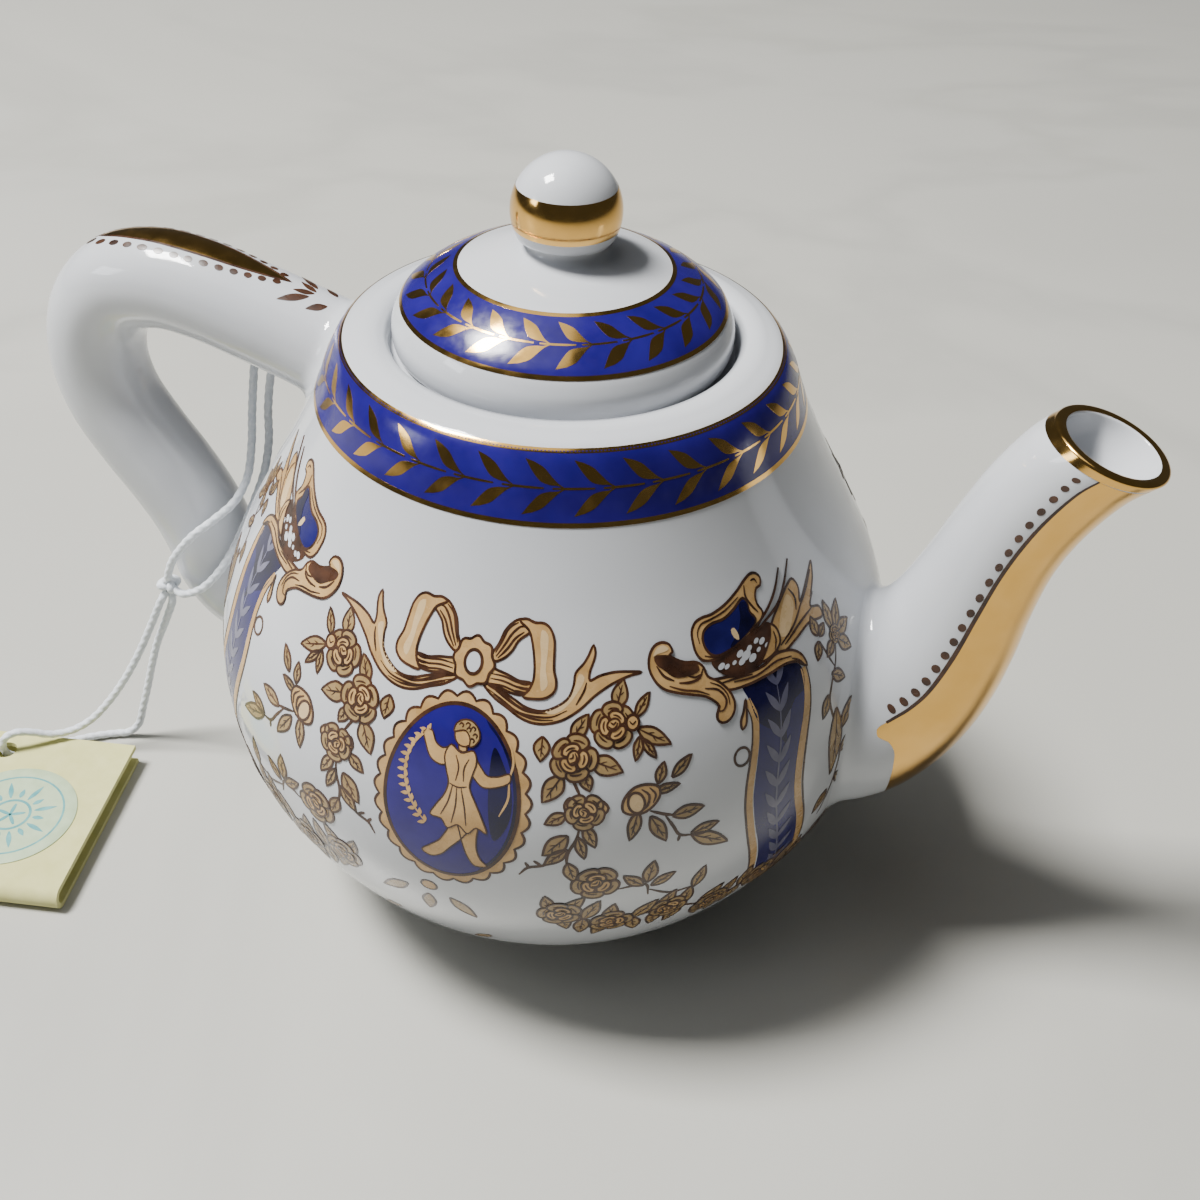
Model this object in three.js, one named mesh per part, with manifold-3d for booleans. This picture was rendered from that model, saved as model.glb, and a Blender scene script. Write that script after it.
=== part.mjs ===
// Miniature porcelain teapot with a lift-off lid, a curved spout, a round loop handle and a price
// tag on a cotton string. Millimetres, +Z up, spout towards +X, printed front towards -Y.
// The origin is on the table, under the middle of the pot from handle to spout.

import * as THREE from "three";
import { mergeVertices } from "three/addons/utils/BufferGeometryUtils.js";
import Module from "manifold-3d";

const wasm = await Module();
wasm.setup();

// ---- driving dimensions -----------------------------------------------------------------------

const AXIS_X = 1.29; // the pot's own axis, measured from the origin
const AROUND = 48; // facets round a turned part

// body
const BELLY_R = 33.4;
const BELLY_Z = 26;
const SHOULDER_R = 19.6;
const SHOULDER_Z = 59.2;
const RIM_Z = 60;
const WALL = 2.2;
const BASE_Z = 2.4; // underside of the body, on top of the foot ring
const GALLERY_R = 15.5; // wall round the lid's edge
const SEAT_Z = 58.4; // ledge that the lid rests on
const MOUTH_R = 12.4; // bore that the lid's collar drops into
const GLUE_GAP = 0.3; // room left where the spout and handle are luted to the body

// foot
const FOOT_OUTER_R = 20;
const FOOT_INNER_R = 17.4;

// lid
const LID_R = 15;
const LID_CLEARANCE = 0.1;
const COLLAR_OUTER_R = 11.9;
const COLLAR_INNER_R = 10.4;
const COLLAR_BOTTOM_Z = 54.8;
const COLLAR_TOP_Z = 60;
const NECK_R = 3.35;
const NECK_Z = 67.4;
const KNOB_R = 4.77;
const KNOB_Z = 70.57;

// spout and handle
const SPOUT_WALL_ROOT = 2;
const SPOUT_WALL_LIP = 1;
const SPOUT_SIDES = 24;
const STRAINER_HOLE_R = 1.5;
const STRAINER_PITCH_R = 4.4;
const STRAINER_Z = 27;
const HANDLE_R = 4.8;
const HANDLE_SIDES = 18;

// tag and string
const TAG_WIDTH = 27;
const TAG_DEPTH = 22.4;
const TAG_HEIGHT = 2.6;
const TAG_LEAF = 0.55;
const TAG_TURN = THREE.MathUtils.degToRad(12);
const TAG_CORNER = [-46.9, -11.8]; // back corner nearest to the pot, from the pot's axis
const TAG_HOLE = [-60.1, -17.5];
const TAG_HOLE_R = 1.2;
const STICKER_R = 7;
const STICKER_THICK = 0.12;
const STICKER_FROM_CORNER = [-9.3, -12.3];
const STRING_R = 0.45;
const STRING_SIDES = 8;
const KNOT = [-43.0, -5.3, 22.6];
const KNOT_R = 1;

// ---- small tools ------------------------------------------------------------------------------

const group = new THREE.Group();

function material(color, roughness, metalness = 0) {
  return new THREE.MeshStandardMaterial({ color, roughness, metalness });
}

function addNode(name, geometry, look) {
  const mesh = new THREE.Mesh(geometry, look);
  mesh.name = name;
  group.add(mesh);
  return mesh;
}

// A closed geometry as a manifold solid, placed on the pot's axis by the caller.
function toSolid(geometry) {
  const bare = geometry.clone();
  bare.deleteAttribute("normal");
  bare.deleteAttribute("uv");
  const merged = mergeVertices(bare, 1e-4);
  const vertProperties = new Float32Array(merged.attributes.position.array);
  const triVerts = new Uint32Array(merged.index.array);
  return new wasm.Manifold(new wasm.Mesh({ numProp: 3, vertProperties, triVerts }));
}

function toGeometry(solid) {
  const mesh = solid.getMesh();
  const geometry = new THREE.BufferGeometry();
  geometry.setAttribute("position", new THREE.Float32BufferAttribute(mesh.vertProperties, 3));
  geometry.setIndex(new THREE.BufferAttribute(new Uint32Array(mesh.triVerts), 1));
  geometry.computeVertexNormals();
  return geometry;
}

// Points on a smooth curve through [radius, height] pairs.
function smooth(pairs, count) {
  const curve = new THREE.SplineCurve(pairs.map(([r, z]) => new THREE.Vector2(r, z)));
  return curve.getPoints(count).map((p) => [p.x, p.y]);
}

// A turned part about the pot's axis, from a profile of [radius, height] pairs that runs
// anticlockwise in the (radius, height) plane.
function turned(profile, segments = AROUND) {
  const points = profile.map(([r, z]) => new THREE.Vector2(r, z));
  const geometry = new THREE.LatheGeometry(points, segments);
  geometry.rotateX(Math.PI / 2);
  geometry.translate(AXIS_X, 0, 0);
  return geometry;
}

function closeLoop(profile) {
  return [...profile, profile[0]];
}

// A solid through elliptical stations that lie in the plane Y = 0. Each station has its centre
// (x from the pot's axis, z), the lean of its plane's normal from vertical towards +X in degrees,
// its half width in that plane and its half width along Y.
function lofted(stations, sides) {
  const positions = [];
  const index = [];
  for (const { x, z, lean, inPlane, across } of stations) {
    const tilt = THREE.MathUtils.degToRad(lean);
    for (let k = 0; k < sides; k += 1) {
      const turn = (k / sides) * Math.PI * 2;
      const u = Math.cos(turn) * inPlane;
      const v = Math.sin(turn) * across;
      positions.push(AXIS_X + x + u * Math.cos(tilt), v, z - u * Math.sin(tilt));
    }
  }
  for (let i = 0; i + 1 < stations.length; i += 1) {
    for (let k = 0; k < sides; k += 1) {
      const a = i * sides + k;
      const b = i * sides + ((k + 1) % sides);
      index.push(a, b, b + sides, a, b + sides, a + sides);
    }
  }
  const last = (stations.length - 1) * sides;
  for (let k = 1; k + 1 < sides; k += 1) {
    index.push(0, k + 1, k);
    index.push(last, last + k, last + k + 1);
  }
  const geometry = new THREE.BufferGeometry();
  geometry.setAttribute("position", new THREE.Float32BufferAttribute(positions, 3));
  geometry.setIndex(index);
  geometry.computeVertexNormals();
  return geometry;
}

// A free cord as a plain tube through points given from the pot's axis.
function cord(points, steps) {
  const path = new THREE.CatmullRomCurve3(
    points.map(([x, y, z]) => new THREE.Vector3(AXIS_X + x, y, z)),
    false,
    "centripetal",
  );
  const section = new THREE.Shape();
  for (let k = 0; k < STRING_SIDES; k += 1) {
    const turn = (k / STRING_SIDES) * Math.PI * 2;
    const x = Math.cos(turn) * STRING_R;
    const y = Math.sin(turn) * STRING_R;
    if (k === 0) section.moveTo(x, y);
    else section.lineTo(x, y);
  }
  section.closePath();
  return new THREE.ExtrudeGeometry(section, { steps, extrudePath: path, bevelEnabled: false });
}

// ---- body -------------------------------------------------------------------------------------

// Outside of the pot, from the foot up to the shoulder.
const bodyOutside = smooth(
  [
    [20.4, BASE_Z],
    [23.2, 3.9],
    [26.1, 6.5],
    [28.7, 10.2],
    [31.4, 15.5],
    [32.95, 20.8],
    [BELLY_R, BELLY_Z],
    [32.9, 31],
    [31.2, 36.6],
    [28.3, 42.3],
    [25.0, 48.2],
    [22.15, 54],
    [20.9, 57.2],
    [SHOULDER_R, SHOULDER_Z],
    [17.6, RIM_Z],
  ],
  19,
);

function bodyShell() {
  const inside = smooth(
    [
      [19, 55.2],
      [20.2, 53],
      [22.9, 47.2],
      [26.2, 41.3],
      [29, 35.9],
      [BELLY_R - WALL - 0.4, 30.6],
      [BELLY_R - WALL, BELLY_Z],
      [30.7, 21.2],
      [29.2, 16.4],
      [26.7, 11.4],
      [24.1, 8.1],
      [20, 6],
      [14, 5.1],
    ],
    12,
  );
  const profile = [
    [0, BASE_Z + 0.8],
    [16.4, BASE_Z + 0.2],
    [17.2, BASE_Z],
    ...bodyOutside,
    [GALLERY_R + 0.3, RIM_Z - 0.35],
    [GALLERY_R, RIM_Z - 0.9],
    [GALLERY_R, SEAT_Z],
    [MOUTH_R + 0.3, SEAT_Z],
    [MOUTH_R, SEAT_Z - 0.4],
    [MOUTH_R, SEAT_Z - 2],
    [MOUTH_R + 1, SEAT_Z - 2.6],
    ...inside,
    [0, 5],
  ];
  let shell = toSolid(turned(profile));
  const holes = [[0, 0]];
  for (let k = 0; k < 6; k += 1) {
    const turn = (k / 6) * Math.PI * 2;
    holes.push([Math.cos(turn) * STRAINER_PITCH_R, Math.sin(turn) * STRAINER_PITCH_R]);
  }
  for (const [y, z] of holes) {
    const drill = new THREE.CylinderGeometry(STRAINER_HOLE_R, STRAINER_HOLE_R, 12, 12);
    drill.rotateZ(Math.PI / 2);
    drill.translate(AXIS_X + BELLY_R - 2, y, STRAINER_Z + z);
    shell = shell.subtract(toSolid(drill));
  }
  return toGeometry(shell);
}

// The whole space inside the body's outer surface, grown by the luting gap: what the spout and
// handle are trimmed to.
function bodyEnvelope() {
  const grown = bodyOutside.map(([r, z]) => [r + GLUE_GAP, z]);
  return toSolid(turned([[0, BASE_Z], ...grown, [0, RIM_Z]]));
}

// ---- foot ring --------------------------------------------------------------------------------

function footRing() {
  return turned(
    closeLoop([
      [FOOT_INNER_R + 0.5, 0],
      [FOOT_OUTER_R - 1, 0],
      [FOOT_OUTER_R - 0.6, 0.3],
      [FOOT_OUTER_R - 0.35, 1.1],
      [FOOT_OUTER_R, BASE_Z],
      [FOOT_INNER_R, BASE_Z],
      [FOOT_INNER_R + 0.1, 0.5],
    ]),
  );
}

// ---- spout ------------------------------------------------------------------------------------

// Stations from inside the body out to the lip. The lip's plane is cut nearer to level than the
// tube is, as on a poured-off spout.
const SPOUT_STATIONS = [
  { x: 25.5, z: 25.3, lean: 80, r: 11.6 },
  { x: 29.3, z: 25.6, lean: 74, r: 11.1 },
  { x: 32.6, z: 27, lean: 62, r: 10.1 },
  { x: 35.2, z: 29.7, lean: 46, r: 8.7 },
  { x: 37.2, z: 33.4, lean: 30, r: 7.4 },
  { x: 38.7, z: 37.8, lean: 19, r: 6.3 },
  { x: 39.9, z: 42.5, lean: 17, r: 5.5 },
  { x: 41.3, z: 47.6, lean: 21, r: 5.05 },
  { x: 43.1, z: 52.2, lean: 25, r: 4.95 },
  { x: 45.4, z: 56.2, lean: 22, r: 4.98 },
  { x: 47.5, z: 58.4, lean: 16.7, r: 5.15 },
];
const SPOUT_SLIM = 0.93; // the spout is a little slimmer across than it is in its own plane

function spoutAt(t) {
  const span = t * (SPOUT_STATIONS.length - 1);
  const i = Math.min(Math.floor(span), SPOUT_STATIONS.length - 2);
  const f = span - i;
  const pick = (k) => SPOUT_STATIONS[Math.min(Math.max(k, 0), SPOUT_STATIONS.length - 1)];
  const blend = (key) => {
    const [a, b, c, d] = [pick(i - 1)[key], pick(i)[key], pick(i + 1)[key], pick(i + 2)[key]];
    const curve = 2 * b + (c - a) * f + (2 * a - 5 * b + 4 * c - d) * f * f;
    return 0.5 * (curve + (3 * b - a - 3 * c + d) * f * f * f);
  };
  return { x: blend("x"), z: blend("z"), lean: blend("lean"), r: blend("r") };
}

function spoutSolid(wallShare, steps) {
  const stations = [];
  for (let k = 0; k <= steps; k += 1) {
    const t = k / steps;
    const s = spoutAt(t);
    const wall = wallShare * THREE.MathUtils.lerp(SPOUT_WALL_ROOT, SPOUT_WALL_LIP, t);
    const slim = THREE.MathUtils.lerp(SPOUT_SLIM, 1, t);
    stations.push({ ...s, inPlane: s.r - wall, across: (s.r - wall) * slim });
  }
  const lip = stations[steps];
  const beyond = wallShare > 0 ? 1 : 0.3;
  const shrink = wallShare > 0 ? 0 : 0.45;
  const tilt = THREE.MathUtils.degToRad(lip.lean);
  stations.push({
    ...lip,
    x: lip.x + Math.sin(tilt) * beyond,
    z: lip.z + Math.cos(tilt) * beyond,
    inPlane: lip.inPlane - shrink,
    across: lip.across - shrink,
  });
  return toSolid(lofted(stations, SPOUT_SIDES));
}

function spout(envelope) {
  const tube = spoutSolid(0, 16).subtract(spoutSolid(1, 10));
  return toGeometry(tube.subtract(envelope));
}

// ---- handle -----------------------------------------------------------------------------------

// Middle line of the handle, from the shoulder out and back down to the belly.
const HANDLE_LINE = [
  [-17, 50.6],
  [-24.5, 53.2],
  [-31, 55],
  [-36.5, 56.3],
  [-41.3, 56.6],
  [-45.8, 55.3],
  [-49, 51.8],
  [-50.2, 47],
  [-49.4, 42.3],
  [-46.8, 37.8],
  [-43.9, 33.8],
  [-41.6, 30],
  [-40.2, 26.4],
  [-39.2, 22.9],
  [-36.9, 20.3],
  [-32.5, 19.3],
  [-27, 19.3],
];
const HANDLE_FLARE = 0.8; // extra radius where the handle meets the body

function handle(envelope) {
  const line = new THREE.CatmullRomCurve3(
    HANDLE_LINE.map(([x, z]) => new THREE.Vector3(x, 0, z)),
    false,
    "centripetal",
  );
  const steps = 28;
  const stations = [];
  for (let k = 0; k <= steps; k += 1) {
    const t = k / steps;
    const p = line.getPointAt(t);
    const d = line.getTangentAt(t);
    const ends = Math.max(0, 1 - t / 0.14) + Math.max(0, 1 - (1 - t) / 0.1);
    const r = HANDLE_R + HANDLE_FLARE * ends * ends;
    const lean = THREE.MathUtils.radToDeg(Math.atan2(d.x, d.z));
    stations.push({ x: p.x, z: p.z, lean, inPlane: r, across: r });
  }
  return toGeometry(toSolid(lofted(stations, HANDLE_SIDES)).subtract(envelope));
}

// ---- lid --------------------------------------------------------------------------------------

function lidCap() {
  const dome = smooth(
    [
      [LID_R, SEAT_Z + 0.6],
      [LID_R + 0.1, RIM_Z + 0.6],
      [14.75, 61.6],
      [14.1, 62.6],
      [12.4, 64],
      [9.66, 65.5],
      [6.6, 66.5],
      [4.6, 66.9],
      [3.6, 67.1],
      [NECK_R, NECK_Z],
    ],
    13,
  );
  const bottom = SEAT_Z + LID_CLEARANCE;
  return turned([
    [0, 64.6],
    [5, 64.2],
    [8.6, 63.2],
    [9.9, 62],
    [10.1, COLLAR_TOP_Z],
    [12.6, COLLAR_TOP_Z],
    [13, COLLAR_TOP_Z - 0.6],
    [13.1, bottom],
    [LID_R - 0.4, bottom],
    ...dome,
    [0, NECK_Z],
  ]);
}

function lidCollar() {
  return turned(
    closeLoop([
      [COLLAR_INNER_R + 0.4, COLLAR_BOTTOM_Z],
      [COLLAR_OUTER_R - 0.5, COLLAR_BOTTOM_Z],
      [COLLAR_OUTER_R, COLLAR_BOTTOM_Z + 0.6],
      [COLLAR_OUTER_R, COLLAR_TOP_Z],
      [COLLAR_INNER_R, COLLAR_TOP_Z],
      [COLLAR_INNER_R, COLLAR_BOTTOM_Z + 0.5],
    ]),
  );
}

function lidKnob() {
  const ball = [];
  const rings = 10;
  const lowest = -Math.asin((KNOB_Z - NECK_Z - 0.75) / KNOB_R);
  for (let k = 0; k < rings; k += 1) {
    const rise = THREE.MathUtils.lerp(lowest, Math.PI / 2, k / rings);
    ball.push([Math.cos(rise) * KNOB_R, KNOB_Z + Math.sin(rise) * KNOB_R]);
  }
  return turned(
    [[0, NECK_Z], [NECK_R, NECK_Z], [NECK_R + 0.12, NECK_Z + 0.35], ...ball, [0, KNOB_Z + KNOB_R]],
    32,
  );
}

// ---- tag --------------------------------------------------------------------------------------

// Places a point given along and away from the tag's back edge, measured from its near corner.
function onTag(geometry) {
  geometry.rotateZ(TAG_TURN);
  geometry.translate(AXIS_X + TAG_CORNER[0], TAG_CORNER[1], 0);
  return geometry;
}

// A card folded along its front edge: two leaves with a slit between them, open at the back.
function tagCard() {
  const fold = TAG_HEIGHT / 2;
  const inner = fold - TAG_LEAF;
  const side = new THREE.Shape();
  side.moveTo(0, 0);
  side.lineTo(0, TAG_LEAF);
  side.lineTo(TAG_DEPTH - fold, TAG_LEAF);
  side.absarc(TAG_DEPTH - fold, fold, inner, -Math.PI / 2, Math.PI / 2, false);
  side.lineTo(0, TAG_HEIGHT - TAG_LEAF);
  side.lineTo(0, TAG_HEIGHT);
  side.lineTo(TAG_DEPTH - fold, TAG_HEIGHT);
  side.absarc(TAG_DEPTH - fold, fold, fold, Math.PI / 2, -Math.PI / 2, true);
  side.closePath();
  const card = new THREE.ExtrudeGeometry(side, {
    depth: TAG_WIDTH,
    bevelEnabled: false,
    curveSegments: 8,
  });
  // shape x runs forward from the back edge, shape y is up, the extrusion runs along the edge
  const basis = new THREE.Matrix4().makeBasis(
    new THREE.Vector3(0, -1, 0),
    new THREE.Vector3(0, 0, 1),
    new THREE.Vector3(-1, 0, 0),
  );
  card.applyMatrix4(basis);
  const punch = new THREE.CylinderGeometry(TAG_HOLE_R, TAG_HOLE_R, 8, 14);
  punch.rotateX(Math.PI / 2);
  punch.translate(AXIS_X + TAG_HOLE[0], TAG_HOLE[1], TAG_HEIGHT / 2);
  return toGeometry(toSolid(onTag(card)).subtract(toSolid(punch)));
}

function tagSticker() {
  const disc = new THREE.CylinderGeometry(STICKER_R, STICKER_R, STICKER_THICK, 24);
  disc.rotateX(Math.PI / 2);
  disc.translate(STICKER_FROM_CORNER[0], STICKER_FROM_CORNER[1], TAG_HEIGHT + STICKER_THICK / 2);
  return onTag(disc);
}

// ---- string -----------------------------------------------------------------------------------

// From the knot over the handle's lower arm, up behind its upper arm and back to the knot.
const UPPER_LOOP = [
  [-42.6, -5.7, 24.2],
  [-41.9, -5.7, 26.0],
  [-40.6, -5.7, 28.0],
  [-38.8, -5.3, 30.2],
  [-36.9, -3.9, 31.8],
  [-35.6, -1.7, 33.0],
  [-35.1, 0.5, 34.8],
  [-34.9, 1.8, 38.0],
  [-34.8, 2.7, 42.0],
  [-34.7, 3.8, 46.0],
  [-34.7, 5.2, 49.6],
  [-34.7, 6.0, 52.8],
  [-34.2, 6.1, 55.2],
  [-32.8, 6.1, 56.3],
  [-31.4, 6.1, 55.2],
  [-31.3, 6.0, 52.8],
  [-31.9, 5.2, 49.6],
  [-33.0, 4.4, 46.0],
  [-33.5, 3.7, 42.0],
  [-33.6, 3.1, 38.0],
  [-33.9, 1.9, 34.8],
  [-34.4, 0.1, 32.2],
  [-34.9, -1.9, 29.8],
  [-35.7, -3.8, 27.4],
  [-37.0, -5.2, 25.2],
  [-38.6, -5.8, 23.5],
  [-40.2, -5.9, 22.5],
  [-41.3, -5.9, 22.2],
];

// From the knot down to the tag, over its back edge, through its hole and back along the table.
const LOWER_LOOP = [
  [-43.7, -6.1, 20.9],
  [-45.3, -6.7, 17.3],
  [-46.9, -7.6, 13.6],
  [-48.7, -8.7, 10.0],
  [-50.6, -10.0, 6.9],
  [-52.5, -11.5, 4.6],
  [-54.3, -13.0, 3.6],
  [-56.1, -14.5, 3.7],
  [-57.6, -15.6, 4.5],
  [-58.9, -16.6, 4.9],
  [-59.9, -17.4, 4.4],
  [-60.3, -17.7, 3.1],
  [-59.9, -17.4, 1.8],
  [-58.9, -16.6, 1.3],
  [-57.5, -15.2, 1.3],
  [-56.2, -13.4, 1.1],
  [-55.0, -11.8, 0.8],
  [-53.6, -10.4, 0.6],
  [-51.8, -9.2, 0.55],
  [-50.2, -8.5, 0.75],
  [-49.0, -8.0, 2.0],
  [-48.3, -7.5, 4.4],
  [-47.5, -6.9, 7.4],
  [-46.6, -6.4, 10.8],
  [-45.5, -6.0, 14.2],
  [-44.0, -5.7, 17.6],
  [-42.7, -5.6, 20.8],
];

function knot() {
  const ball = new THREE.SphereGeometry(KNOT_R, 12, 8);
  ball.translate(AXIS_X + KNOT[0], KNOT[1], KNOT[2]);
  return ball;
}

// ---- assembly ---------------------------------------------------------------------------------

const porcelain = 0xe6eaec;
const envelope = bodyEnvelope();

addNode("body_shell", bodyShell(), material(porcelain, 0.12));
addNode("foot_ring", footRing(), material(0xe3e0d8, 0.5));
addNode("spout", spout(envelope), material(0xc9a35c, 0.25, 0.9));
addNode("handle", handle(envelope), material(porcelain, 0.12));
addNode("lid_cap", lidCap(), material(0x2a2a96, 0.2));
addNode("lid_collar", lidCollar(), material(porcelain, 0.15));
addNode("lid_knob", lidKnob(), material(0xd0a050, 0.2, 0.9));
addNode("tag_card", tagCard(), material(0xdedfae, 0.85));
addNode("tag_sticker", tagSticker(), material(0xcfe0c6, 0.5));
addNode("tag_string_upper", cord(UPPER_LOOP, 42), material(0xd8dce2, 0.9));
addNode("tag_string_lower", cord(LOWER_LOOP, 38), material(0xd8dce2, 0.9));
addNode("tag_string_knot", knot(), material(0xd8dce2, 0.9));

export default group;
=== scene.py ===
import math

import bpy
import numpy as np
from mathutils import Matrix, Vector
from mathutils.geometry import delaunay_2d_cdt


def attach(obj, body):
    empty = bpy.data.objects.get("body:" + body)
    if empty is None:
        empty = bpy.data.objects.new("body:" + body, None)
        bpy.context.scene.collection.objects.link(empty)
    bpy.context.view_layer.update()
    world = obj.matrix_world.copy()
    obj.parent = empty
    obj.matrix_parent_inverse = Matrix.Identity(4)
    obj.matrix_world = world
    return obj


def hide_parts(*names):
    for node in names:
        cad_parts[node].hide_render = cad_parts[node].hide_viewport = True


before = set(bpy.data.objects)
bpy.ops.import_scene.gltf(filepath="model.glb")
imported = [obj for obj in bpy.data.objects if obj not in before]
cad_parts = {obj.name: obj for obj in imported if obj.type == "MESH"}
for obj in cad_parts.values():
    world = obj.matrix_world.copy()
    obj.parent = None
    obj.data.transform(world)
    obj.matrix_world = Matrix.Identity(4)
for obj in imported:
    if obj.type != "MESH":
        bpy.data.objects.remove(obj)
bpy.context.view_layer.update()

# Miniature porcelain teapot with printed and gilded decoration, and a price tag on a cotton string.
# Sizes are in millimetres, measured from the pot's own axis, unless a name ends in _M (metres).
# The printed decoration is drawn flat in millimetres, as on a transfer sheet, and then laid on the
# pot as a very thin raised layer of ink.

MM = 0.001
AXIS_X = 1.29  # the pot's axis, from the frame's origin

# ---- curves -------------------------------------------------------------------------------------


def spline(points, step=0.4, closed=False):
    """Points about `step` apart on a centripetal Catmull-Rom curve through the given points."""
    p = np.array(points, float)
    if len(p) == 2:
        count = max(1, math.ceil(np.linalg.norm(p[1] - p[0]) / step))
        return p[0] + np.linspace(0, 1, count + 1)[:, None] * (p[1] - p[0])
    if closed:
        p = np.vstack([p[-1], p, p[0], p[1]])
    else:
        p = np.vstack([2 * p[0] - p[1], p, 2 * p[-1] - p[-2]])
    found = []
    for i in range(1, len(p) - 2):
        a, b, c, d = p[i - 1 : i + 3]
        k1, k2, k3 = (max(np.linalg.norm(v) ** 0.5, 1e-6) for v in (b - a, c - b, d - c))
        m1 = (b - a) / k1 - (c - a) / (k1 + k2) + (c - b) / k2
        m2 = (c - b) / k2 - (d - b) / (k2 + k3) + (d - c) / k3
        m1, m2 = m1 * k2, m2 * k2
        count = max(2, math.ceil(k2 * k2 / step))
        t = (np.arange(count) / count)[:, None]
        cubic = 2 * (b - c) + m1 + m2
        found.append(b + m1 * t + (3 * (c - b) - 2 * m1 - m2) * t**2 + cubic * t**3)
    if not closed:
        found.append(p[-2][None])
    return np.vstack(found)


def arc_lengths(p):
    return np.concatenate([[0], np.cumsum(np.linalg.norm(np.diff(p, axis=0), axis=1))])


def along(p, s):
    """The points at arc lengths s on a polyline."""
    lengths = arc_lengths(p)
    return np.stack([np.interp(s, lengths, p[:, k]) for k in range(p.shape[1])], -1)


def even(p, step):
    """The same polyline with its points evenly spread."""
    total = arc_lengths(p)[-1]
    return along(p, np.linspace(0, total, max(2, math.ceil(total / step) + 1)))


def turns(count):
    """Angles spread evenly over a full turn."""
    return np.arange(count) * 2 * math.pi / count


# ---- camera -------------------------------------------------------------------------------------

SENSOR_MM = 36
LENS_MM = 42
CAMERA_AT = (36.5, -106.0, 118.0)
CAMERA_FORWARD = (-0.2260, 0.7497, -0.6220)
CAMERA_RIGHT = (0.9478, 0.3167, 0.0372)  # the photograph is tilted by about 3 degrees


def make_camera():
    data = bpy.data.cameras.new("camera")
    data.sensor_width = SENSOR_MM
    data.lens = LENS_MM
    data.clip_start = 0.005
    camera = bpy.data.objects.new("camera", data)
    bpy.context.scene.collection.objects.link(camera)
    bpy.context.scene.camera = camera
    forward = Vector(CAMERA_FORWARD).normalized()
    right = Vector(CAMERA_RIGHT)
    right = (right - forward * right.dot(forward)).normalized()
    turn = Matrix((right, right.cross(forward), -forward)).transposed().to_4x4()
    place = Vector(CAMERA_AT) + Vector((AXIS_X, 0, 0))
    camera.matrix_world = Matrix.Translation(place * MM) @ turn


make_camera()

# ---- meshes -------------------------------------------------------------------------------------


def add_mesh(name, points, faces, body, look, replaced=(), normals=None, crease=40):
    """A piece from points in millimetres about the pot's axis. It rides on a CAD body."""
    points = (np.array(points, float) + (AXIS_X, 0, 0)) * MM
    mesh = bpy.data.meshes.new(name)
    mesh.from_pydata(points.tolist(), [], faces)
    mesh.update()
    mesh.polygons.foreach_set("use_smooth", [True] * len(mesh.polygons))
    if normals is None:
        mesh.set_sharp_from_angle(angle=math.radians(crease))
    else:
        mesh.normals_split_custom_set_from_vertices(np.array(normals).tolist())
    mesh.materials.append(look)
    obj = bpy.data.objects.new(name, mesh)
    bpy.context.scene.collection.objects.link(obj)
    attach(obj, body)
    if replaced:
        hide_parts(*replaced)
    return obj


def grid_faces(rows, sides, first=0):
    """Quads between rings of points, each ring closed."""
    faces = []
    for i in range(rows - 1):
        for k in range(sides):
            a = first + i * sides + k
            b = first + i * sides + (k + 1) % sides
            faces.append((a, b, b + sides, a + sides))
    return faces


def closing_faces(rows, sides):
    """Quads from the last of some closed rings of points back to the first."""
    last = (rows - 1) * sides
    return [(last + k, last + (k + 1) % sides, (k + 1) % sides, k) for k in range(sides)]


def end_caps(count, sides, first=0):
    """The two flat ends of a tube whose rings hold `count` points in all."""
    near = tuple(reversed(range(first, first + sides)))
    far = tuple(range(first + count - sides, first + count))
    return [near, far]


def turned_over(faces):
    """The same faces, seen from their other side."""
    return [tuple(reversed(f)) for f in faces]


def turned(profile, sides=256):
    """Points and faces of a turned part. A profile that starts and ends on the axis closes there,
    and any other is a closed loop. It runs anticlockwise in the (radius, height) plane."""
    profile = [tuple(p) for p in profile]
    on_axis = profile[0][0] < 1e-6
    rings = profile[1:-1] if on_axis else profile
    turn = turns(sides)
    points = [(r * math.sin(t), -r * math.cos(t), z) for r, z in rings for t in turn.tolist()]
    faces = grid_faces(len(rings), sides)
    if not on_axis:
        return points, faces + closing_faces(len(rings), sides)
    bottom, top = len(points), len(points) + 1
    points += [(0, 0, profile[0][1]), (0, 0, profile[-1][1])]
    last = (len(rings) - 1) * sides
    for k in range(sides):
        n = (k + 1) % sides
        faces.append((bottom, n, k))
        faces.append((top, last + k, last + n))
    return points, faces


def rounded(profile, radius, steps=5):
    """A profile with its marked corners rounded. A corner is marked by a third value above 0,
    which scales the radius."""
    found = []
    count = len(profile)
    for i, point in enumerate(profile):
        p = np.array(point[:2], float)
        scale = point[2] if len(point) > 2 else 0
        if scale == 0:
            found.append(tuple(p))
            continue
        before = np.array(profile[i - 1][:2], float)
        after = np.array(profile[(i + 1) % count][:2], float)
        r = radius * scale
        a = p + (before - p) * min(r / np.linalg.norm(before - p), 0.49)
        b = p + (after - p) * min(r / np.linalg.norm(after - p), 0.49)
        for k in range(steps + 1):
            t = k / steps
            found.append(tuple(a * (1 - t) ** 2 + 2 * p * t * (1 - t) + b * t * t))
    return found


# ---- materials ----------------------------------------------------------------------------------


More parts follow.
